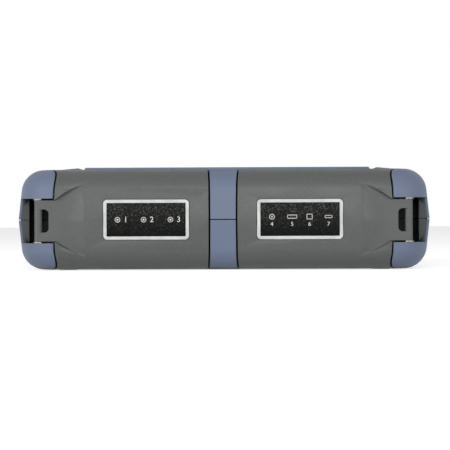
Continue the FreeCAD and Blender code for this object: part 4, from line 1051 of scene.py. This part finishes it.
@dataclass
class ElectricalDoor(SocketDoor):
    """Door over the electrical sockets: four outlines above their numbers."""

    side: Side = Side.ELECTRICAL
    digit_height: float = 2.4 * MM
    first_number: int = 4
    rise: float = 1.5 * MM
    drop: float = 3.0 * MM
    dot: float = 0.5 * MM
    outlines: tuple[PortOutline, ...] = (
        PortOutline(0.145, 3.4 * MM, 3.4 * MM, PortShape.ROUND),
        PortOutline(0.4, 6.0 * MM, 2.4 * MM),
        PortOutline(0.62, 3.6 * MM, 3.4 * MM),
        PortOutline(0.86, 4.6 * MM, 1.8 * MM),
    )

    def outline(self, x: float, y: float, z: float, width: float, height: float) -> list[bpy.types.Object]:
        """Four strokes round a socket's outline.

        Args:
            x: Its middle across.
            y: Front of its ink.
            z: Its middle upwards.
            width: Width over its strokes.
            height: Height over its strokes.

        Returns:
            The four strokes.
        """
        stroke = self.stroke
        hx, hz = width / 2, height / 2
        bars = [((-hx, -hz), (hx, -hz + stroke)), ((-hx, hz - stroke), (hx, hz)),
                ((-hx, -hz), (-hx + stroke, hz)), ((hx - stroke, -hz), (hx, hz))]
        return [Bench.box((x + a[0], y, z + a[1]), (x + b[0], y + self.ink, z + b[1]), self.ink / 5)
                for a, b in bars]

    def print_marks(self, low: Vector, high: Vector) -> list[bpy.types.Object]:
        """Prints an outline and a number for each electrical socket.

        Args:
            low: Lowest corner of the label plate.
            high: Highest corner of the label plate.

        Returns:
            The printed pieces.
        """
        y = low.y - self.ink
        middle = (low.z + high.z) / 2
        pieces = []
        for number, port in enumerate(self.outlines, start=self.first_number):
            x = low.x + port.share * (high.x - low.x)
            top_z = middle + self.rise
            if port.shape is PortShape.ROUND:
                radius = port.width / 2
                centre = Vector((x, y, top_z))
                pieces.append(Bench.ring(centre, radius, radius - self.stroke, self.ink, 32))
                pieces.append(Bench.ring(centre, self.dot, self.pin_hole, self.ink, 20))
            else:
                pieces += self.outline(x, y, top_z, port.width, port.height)
            pieces.append(self.digit(str(number), x, y + self.ink / 2, middle - self.drop, self.digit_height))
        return pieces


@dataclass
class HingeHardware(Assembly):
    """Pins and washers that the doors turn on."""

    def build(self) -> None:
        """Dresses the steel parts."""
        for name in ("door_hinge_pins", "door_hinge_washers"):
            self.mould(name, Finishes.steel, "case", "steel")


# ------------------------------------------------------------------------ socket bays ----
@dataclass
class FibreSockets(Assembly):
    """Panel, round sockets, their threads and ceramic sleeves."""

    nose_radius: float = 4.0 * MM
    thread_pitch: float = 0.75 * MM
    thread_depth: float = 0.28 * MM
    thread_start: float = 1.1 * MM
    thread_turns: int = 8
    sleeve_sink: float = 1.4 * MM
    sleeve_ring: tuple[float, float] = (1.68 * MM, 1.27 * MM)
    sleeve_depth: float = 0.25 * MM

    def build(self) -> None:
        """Dresses the panel and completes each socket."""
        self.coat(Finishes.panel, "optical_panel")
        self.coat(Finishes.steel, "adapter_screws", "panel_screws")
        for name in ("vfl_adapter", "otdr_adapter", "opm_adapter"):
            self.mould(name, Finishes.nickel, "case", "socket_metal")
            self.thread(name)
            self.sleeve(name)

    def thread(self, node: str) -> None:
        """Cuts the look of a fine thread on a socket's nose, as a row of ridges.

        Args:
            node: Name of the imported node.
        """
        low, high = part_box(node)
        centre_x, centre_z = (low.x + high.x) / 2, (low.z + high.z) / 2
        ridges = []
        for turn in range(self.thread_turns):
            Bench.deselect()
            y = low.y + self.thread_start + turn * self.thread_pitch
            bpy.ops.mesh.primitive_torus_add(location=(centre_x, y, centre_z),
                                             rotation=(math.radians(90), 0, 0),
                                             major_radius=self.nose_radius, minor_radius=self.thread_depth,
                                             major_segments=40, minor_segments=6)
            ridges.append(bpy.context.object)
        self.place(Bench.weld(ridges, node + "_thread", Finishes.nickel), "case", "socket_metal")

    def sleeve(self, node: str) -> None:
        """Adds the white ceramic lining of a socket's ferrule bore.

        Args:
            node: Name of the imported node.
        """
        low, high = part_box(node)
        centre = Vector(((low.x + high.x) / 2, low.y + self.sleeve_sink, (low.z + high.z) / 2))
        piece = Bench.ring(centre, *self.sleeve_ring, self.sleeve_depth, 40)
        self.place(Bench.settle(piece, node + "_ceramic", Finishes.ceramic), "case", "socket_metal")


@dataclass
class WiredSockets(Assembly):
    """Panel and sockets on the electrical side."""

    contact_count: int = 8
    contact_pitch: float = 1.02 * MM
    contact_half: float = 0.22 * MM
    contact_y: tuple[float, float] = (3.9 * MM, 12.4 * MM)
    contact_z: tuple[float, float] = (3.62 * MM, 3.72 * MM)
    contact_bevel: float = 0.02 * MM
    tongue_half: float = 5.65 * MM
    tongue_y: tuple[float, float] = (0.9 * MM, 11.9 * MM)
    tongue_z: tuple[float, float] = (0.22 * MM, 2.08 * MM)
    tongue_bevel: float = 0.1 * MM

    def build(self) -> None:
        """Dresses the panel and the sockets."""
        self.coat(Finishes.panel, "io_panel")
        self.coat(Finishes.black_plastic, "dc_jack")
        for name in ("usb_socket", "lan_jack", "micro_socket"):
            self.coat(Finishes.nickel, name)
        self.contacts()
        self.tongue()

    def contacts(self) -> None:
        """Adds gold faces to the network jack's contacts."""
        low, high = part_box("lan_jack")
        centre_x, centre_z = (low.x + high.x) / 2, (low.z + high.z) / 2
        strips = []
        for index in range(self.contact_count):
            x = centre_x + (index - (self.contact_count - 1) / 2) * self.contact_pitch
            near, far = ((x + sign * self.contact_half, low.y + y, centre_z + z)
                         for sign, y, z in zip((-1, 1), self.contact_y, self.contact_z))
            strips.append(Bench.box(near, far, self.contact_bevel))
        self.place(Bench.weld(strips, "lan_contacts", Finishes.gold), "case", "socket_metal")

    def tongue(self) -> None:
        """Adds the black tongue's facing inside the wide serial socket."""
        low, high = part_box("usb_socket")
        centre_x, centre_z = (low.x + high.x) / 2, (low.z + high.z) / 2
        near, far = ((centre_x + sign * self.tongue_half, low.y + y, centre_z + z)
                     for sign, y, z in zip((-1, 1), self.tongue_y, self.tongue_z))
        piece = Bench.box(near, far, self.tongue_bevel)
        self.place(Bench.settle(piece, "usb_tongue", Finishes.black_plastic), "case", "socket_plastic")


# -------------------------------------------------------------------- display and keys ----
@dataclass
class Display(Assembly):
    """Cover glass, seal and display module."""

    border: float = 8.0 * MM

    def build(self) -> None:
        """Dresses the display."""
        self.coat(Finishes.glass, "display_window")
        self.coat(Finishes.rubber, "display_gasket")
        low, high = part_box("display_window")
        screen = DarkScreen("dark_screen", (low.x + self.border, low.y + self.border),
                            (high.x - self.border, high.y - self.border))
        self.coat(screen, "lcd_module")
        self.coat(Finishes.light, "status_lights")


@dataclass
class Keypad(Assembly):
    """The keys and what is printed on them."""

    ink: float = 0.06 * MM
    arrow_reach: float = 13.2 * MM
    arrow_radius: float = 2.0 * MM
    digit_size: float = 5.2 * MM
    bar_pitch: float = 1.7 * MM
    bar_half: tuple[float, float] = (2.4 * MM, 0.32 * MM)
    enter_ring: tuple[float, float] = (2.2 * MM, 1.6 * MM)
    back_ring: tuple[float, float] = (2.2 * MM, 1.7 * MM)
    power_ring: tuple[float, float] = (2.6 * MM, 2.0 * MM)
    power_bar_half: float = 0.3 * MM
    power_bar_y: tuple[float, float] = (0.6 * MM, 3.4 * MM)
    soft_key_count: int = 4
    arrow_turns: dict[str, float] = field(default_factory=lambda: {"right": -90.0, "up": 0.0, "left": 90.0,
                                                                   "down": 180.0})

    def build(self) -> None:
        """Dresses and prints every key."""
        keys = [name for name in self.nodes if name.endswith("_key") or "_key_" in name]
        for name in keys:
            finish, slot = ((Finishes.power, "key_accent") if name == "power_key"
                            else (Finishes.key, "key_grey"))
            self.mould(name, finish, name, slot)
        for direction, turn in self.arrow_turns.items():
            self.arrow("arrow_key_" + direction, turn)
        for index in range(1, self.soft_key_count + 1):
            self.number("soft_key_%d" % index, str(index))
        for name, bars in (("menu_key", 3), ("file_key", 2), ("start_key", 1)):
            self.bars(name, bars)
        self.ring_mark("enter_key", *self.enter_ring)
        self.ring_mark("back_key", *self.back_ring)
        self.power_mark()
        self.coat(Finishes.rubber, "key_mat")
        self.coat(Finishes.board, "key_board")

    def face(self, node: str) -> Vector:
        """Middle of a key's top face."""
        low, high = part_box(node)
        return Vector(((low.x + high.x) / 2, (low.y + high.y) / 2, high.z))

    def finish_mark(self, pieces: Sequence[bpy.types.Object], node: str) -> None:
        """Joins the strokes of one mark and lets them ride on their key."""
        mark = Bench.weld(pieces, node + "_mark", Finishes.white_ink)
        self.place(mark, node, "key_grey" if node != "power_key" else "key_accent")

    def arrow(self, node: str, turn: float) -> None:
        """Prints a triangle that points away from the middle of the pad.

        Args:
            node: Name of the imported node.
            turn: Turn of the triangle in degrees, 0 when it points to +Y.
        """
        low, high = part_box(node)
        pad_low, pad_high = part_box("enter_key")
        middle = Vector(((pad_low.x + pad_high.x) / 2, (pad_low.y + pad_high.y) / 2, 0))
        angle = math.radians(turn)
        reach = self.arrow_reach
        at = (middle.x - math.sin(angle) * reach, middle.y + math.cos(angle) * reach, high.z + self.ink / 2)
        Bench.deselect()
        bpy.ops.mesh.primitive_cylinder_add(vertices=3, radius=self.arrow_radius, depth=self.ink, location=at,
                                            rotation=(0, 0, angle))
        self.finish_mark([bpy.context.object], node)

    def number(self, node: str, text: str) -> None:
        """Prints a number in the middle of a key.

        Args:
            node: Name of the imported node.
            text: The number.
        """
        at = self.face(node)
        Bench.deselect()
        bpy.ops.object.text_add(location=(at.x, at.y, at.z + self.ink / 2))
        piece = bpy.context.object
        piece.data.body = text
        piece.data.align_x = "CENTER"
        piece.data.align_y = "CENTER"
        piece.data.size = self.digit_size
        piece.data.extrude = self.ink / 2
        self.finish_mark([Bench.settle(piece, "number")], node)

    def bars(self, node: str, count: int) -> None:
        """Prints a stack of short bars.

        Args:
            node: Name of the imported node.
            count: Number of bars.
        """
        at = self.face(node)
        half_x, half_y = self.bar_half
        pieces = []
        for index in range(count):
            y = at.y + (index - (count - 1) / 2) * self.bar_pitch
            pieces.append(Bench.box((at.x - half_x, y - half_y, at.z),
                                    (at.x + half_x, y + half_y, at.z + self.ink), self.ink / 5))
        self.finish_mark(pieces, node)

    def flat_ring(self, at: Vector, outer: float, inner: float) -> bpy.types.Object:
        """A printed ring that lies on a key.

        Args:
            at: Its centre.
            outer: Outer radius.
            inner: Inner radius.

        Returns:
            The new object.
        """
        Bench.deselect()
        bpy.ops.mesh.primitive_torus_add(location=(at.x, at.y, at.z), major_radius=(outer + inner) / 2,
                                         minor_radius=(outer - inner) / 2, major_segments=40,
                                         minor_segments=8)
        piece = bpy.context.object
        bpy.ops.object.mode_set(mode="EDIT")
        bpy.ops.mesh.select_all(action="SELECT")
        bpy.ops.transform.resize(value=(1, 1, self.ink / (outer - inner)))
        bpy.ops.object.mode_set(mode="OBJECT")
        return piece

    def ring_mark(self, node: str, outer: float, inner: float) -> None:
        """Prints a ring in the middle of a key."""
        self.finish_mark([self.flat_ring(self.face(node), outer, inner)], node)

    def power_mark(self) -> None:
        """Prints a ring with a bar across its upper side."""
        at = self.face("power_key")
        ring = self.flat_ring(at, *self.power_ring)
        low_y, high_y = self.power_bar_y
        bar = Bench.box((at.x - self.power_bar_half, at.y + low_y, at.z),
                        (at.x + self.power_bar_half, at.y + high_y, at.z + self.ink), self.ink / 5)
        self.finish_mark([ring, bar], "power_key")


# ------------------------------------------------------------------------------- back ----
@dataclass
class Back(Assembly):
    """Stand, battery compartment, feet and sounder."""

    def build(self) -> None:
        """Dresses the back."""
        self.mould("stand", Finishes.grey_core, "stand", "grey_core")
        self.coat(Finishes.rubber, "stand_pad")
        self.mould("rubber_feet", Finishes.rubber, "case", "seal")
        self.mould("battery_cover", Finishes.grey_core, "case", "grey_core")
        self.coat(Finishes.steel, "stand_pin", "battery_cover_screws")
        self.coat(Finishes.sleeve, "battery_pack")


@dataclass
class Interior(Assembly):
    """Boards and modules inside the housing."""

    def build(self) -> None:
        """Dresses what the housing holds."""
        self.coat(Finishes.board, "main_board", "io_board")
        self.coat(Finishes.sheet, "chassis", "board_standoffs", "otdr_engine", "vfl_laser", "opm_detector",
                  "speaker")


# ----------------------------------------------------------------------------- studio ----
@dataclass(frozen=True)
class WhiteFloor(Finish):
    """Pale floor that stays white to the camera and keeps a soft shadow."""

    name: str = "studio_floor"
    glow: float = 0.62

    def surface(self, wiring: Wiring) -> bpy.types.NodeSocket:
        """Builds the shader and returns its output.

        Args:
            wiring: Wiring of the material's tree.

        Returns:
            The shader's output socket.
        """
        paper = wiring.add("ShaderNodeBsdfDiffuse", {"Color": (0.86, 0.86, 0.86, 1.0), "Roughness": 0.5})
        lit = wiring.add("ShaderNodeEmission", {"Color": (1.0, 1.0, 1.0, 1.0), "Strength": self.glow})
        ray = wiring.add("ShaderNodeLightPath")
        seen = wiring.maths("MAXIMUM", ray.outputs["Is Camera Ray"], ray.outputs["Is Transmission Ray"])
        seen = wiring.maths("MAXIMUM", seen, ray.outputs["Is Glossy Ray"])
        extra = wiring.add("ShaderNodeMixShader", {0: seen})
        wiring.feed(extra, 2, lit.outputs[0])
        total = wiring.add("ShaderNodeAddShader")
        wiring.feed(total, 0, paper.outputs[0])
        wiring.feed(total, 1, extra.outputs[0])
        return total.outputs[0]


@dataclass(frozen=True)
class Lamp:
    """One rectangular soft light, aimed at the object.

    The azimuth is measured from -Y towards +X and the elevation from the floor, both in degrees.
    """

    name: str
    azimuth: float
    elevation: float
    distance: float
    size: tuple[float, float]
    power: float

    def build(self, target: Vector) -> None:
        """Adds the light and turns it to the target.

        Args:
            target: Point that the light is aimed at.
        """
        turn, rise = math.radians(self.azimuth), math.radians(self.elevation)
        back = Vector((math.sin(turn) * math.cos(rise), -math.cos(turn) * math.cos(rise), math.sin(rise)))
        Bench.deselect()
        bpy.ops.object.light_add(type="AREA", location=target + back * self.distance)
        lamp = bpy.context.object
        lamp.name = self.name
        lamp.data.shape = "RECTANGLE"
        lamp.data.size, lamp.data.size_y = self.size
        lamp.data.energy = self.power
        lamp.rotation_mode = "QUATERNION"
        lamp.rotation_quaternion = (-back).to_track_quat("-Z", "Y")


@dataclass
class Studio:
    """Floor, light and camera."""

    azimuth: float = 1.2
    elevation: float = 0.2
    roll: float = 0.22
    distance: float = 1.36
    field_width: float = 0.2721
    aim_x: float = 0.0012
    aim_z: float = 0.0276
    ambient: float = 0.22
    lamps: tuple[Lamp, ...] = (
        Lamp("left_light", -50.0, 8.0, 1.5, (0.5, 0.4), 7.5),
        Lamp("right_light", 48.0, 8.0, 1.5, (0.5, 0.4), 5.0),
        Lamp("front_light", 0.0, 14.0, 2.2, (0.8, 0.5), 12.0),
    )

    def build(self, low: Vector, high: Vector) -> None:
        """Sets up the stage round an object with the given box.

        Args:
            low: Lowest corner of the object's box.
            high: Highest corner of that box.
        """
        target = Vector((self.aim_x, low.y, self.aim_z))
        self.make_world()
        self.make_floor()
        for lamp in self.lamps:
            lamp.build((low + high) / 2)
        self.make_camera(target)
        bpy.context.scene.view_settings.view_transform = "Standard"

    def make_world(self) -> None:
        """White surroundings that light the object at a plain level."""
        world = bpy.data.worlds.new("studio")
        bpy.context.scene.world = world
        world.use_nodes = True
        wiring = Wiring(world.node_tree)
        ray = wiring.add("ShaderNodeLightPath")
        seen = wiring.maths("MAXIMUM", ray.outputs["Is Camera Ray"], ray.outputs["Is Transmission Ray"])
        seen = wiring.maths("MAXIMUM", seen, ray.outputs["Is Glossy Ray"])
        dim = wiring.add("ShaderNodeBackground", {"Color": (1, 1, 1, 1), "Strength": self.ambient})
        white = wiring.add("ShaderNodeBackground", {"Color": (1, 1, 1, 1), "Strength": 1.0})
        mixed = wiring.add("ShaderNodeMixShader", {0: seen})
        wiring.feed(mixed, 1, dim.outputs[0])
        wiring.feed(mixed, 2, white.outputs[0])
        wiring.add("ShaderNodeOutputWorld", {"Surface": mixed.outputs[0]})

    def make_floor(self) -> None:
        """Large pale floor under the object."""
        Bench.deselect()
        bpy.ops.mesh.primitive_plane_add(size=12.0, location=(0, 0, 0))
        floor = Bench.settle(bpy.context.object, "floor", WhiteFloor())
        floor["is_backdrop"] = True

    def make_camera(self, target: Vector) -> None:
        """Camera level with the parting plane, in front of the sockets' end.

        Args:
            target: Point that the camera looks at.
        """
        turn, rise = math.radians(self.azimuth), math.radians(self.elevation)
        back = Vector((math.sin(turn) * math.cos(rise), -math.cos(turn) * math.cos(rise), math.sin(rise)))
        Bench.deselect()
        bpy.ops.object.camera_add(location=target + back * self.distance)
        camera = bpy.context.object
        camera.name = "view"
        camera.data.sensor_width = 36.0
        camera.data.lens = 36.0 * self.distance / self.field_width
        camera.rotation_mode = "QUATERNION"
        roll = Quaternion((0.0, 0.0, 1.0), math.radians(-self.roll))
        camera.rotation_quaternion = (-back).to_track_quat("-Z", "Y") @ roll
        bpy.context.scene.camera = camera


def main() -> None:
    """Builds every sub-assembly in order and reports each of them."""
    logging.basicConfig(level=logging.INFO, format="%(message)s")
    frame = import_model()
    cad_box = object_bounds()
    nodes = frame["nodes"]
    Studio().build(*cad_box)
    for assembly in (Housing(nodes), OpticalDoor(nodes), ElectricalDoor(nodes), HingeHardware(nodes),
                     FibreSockets(nodes), WiredSockets(nodes), Display(nodes), Keypad(nodes), Back(nodes),
                     Interior(nodes)):
        assembly.build()
        LOG.info("built %s", type(assembly).__name__)


if __name__ == "__main__":
    main()
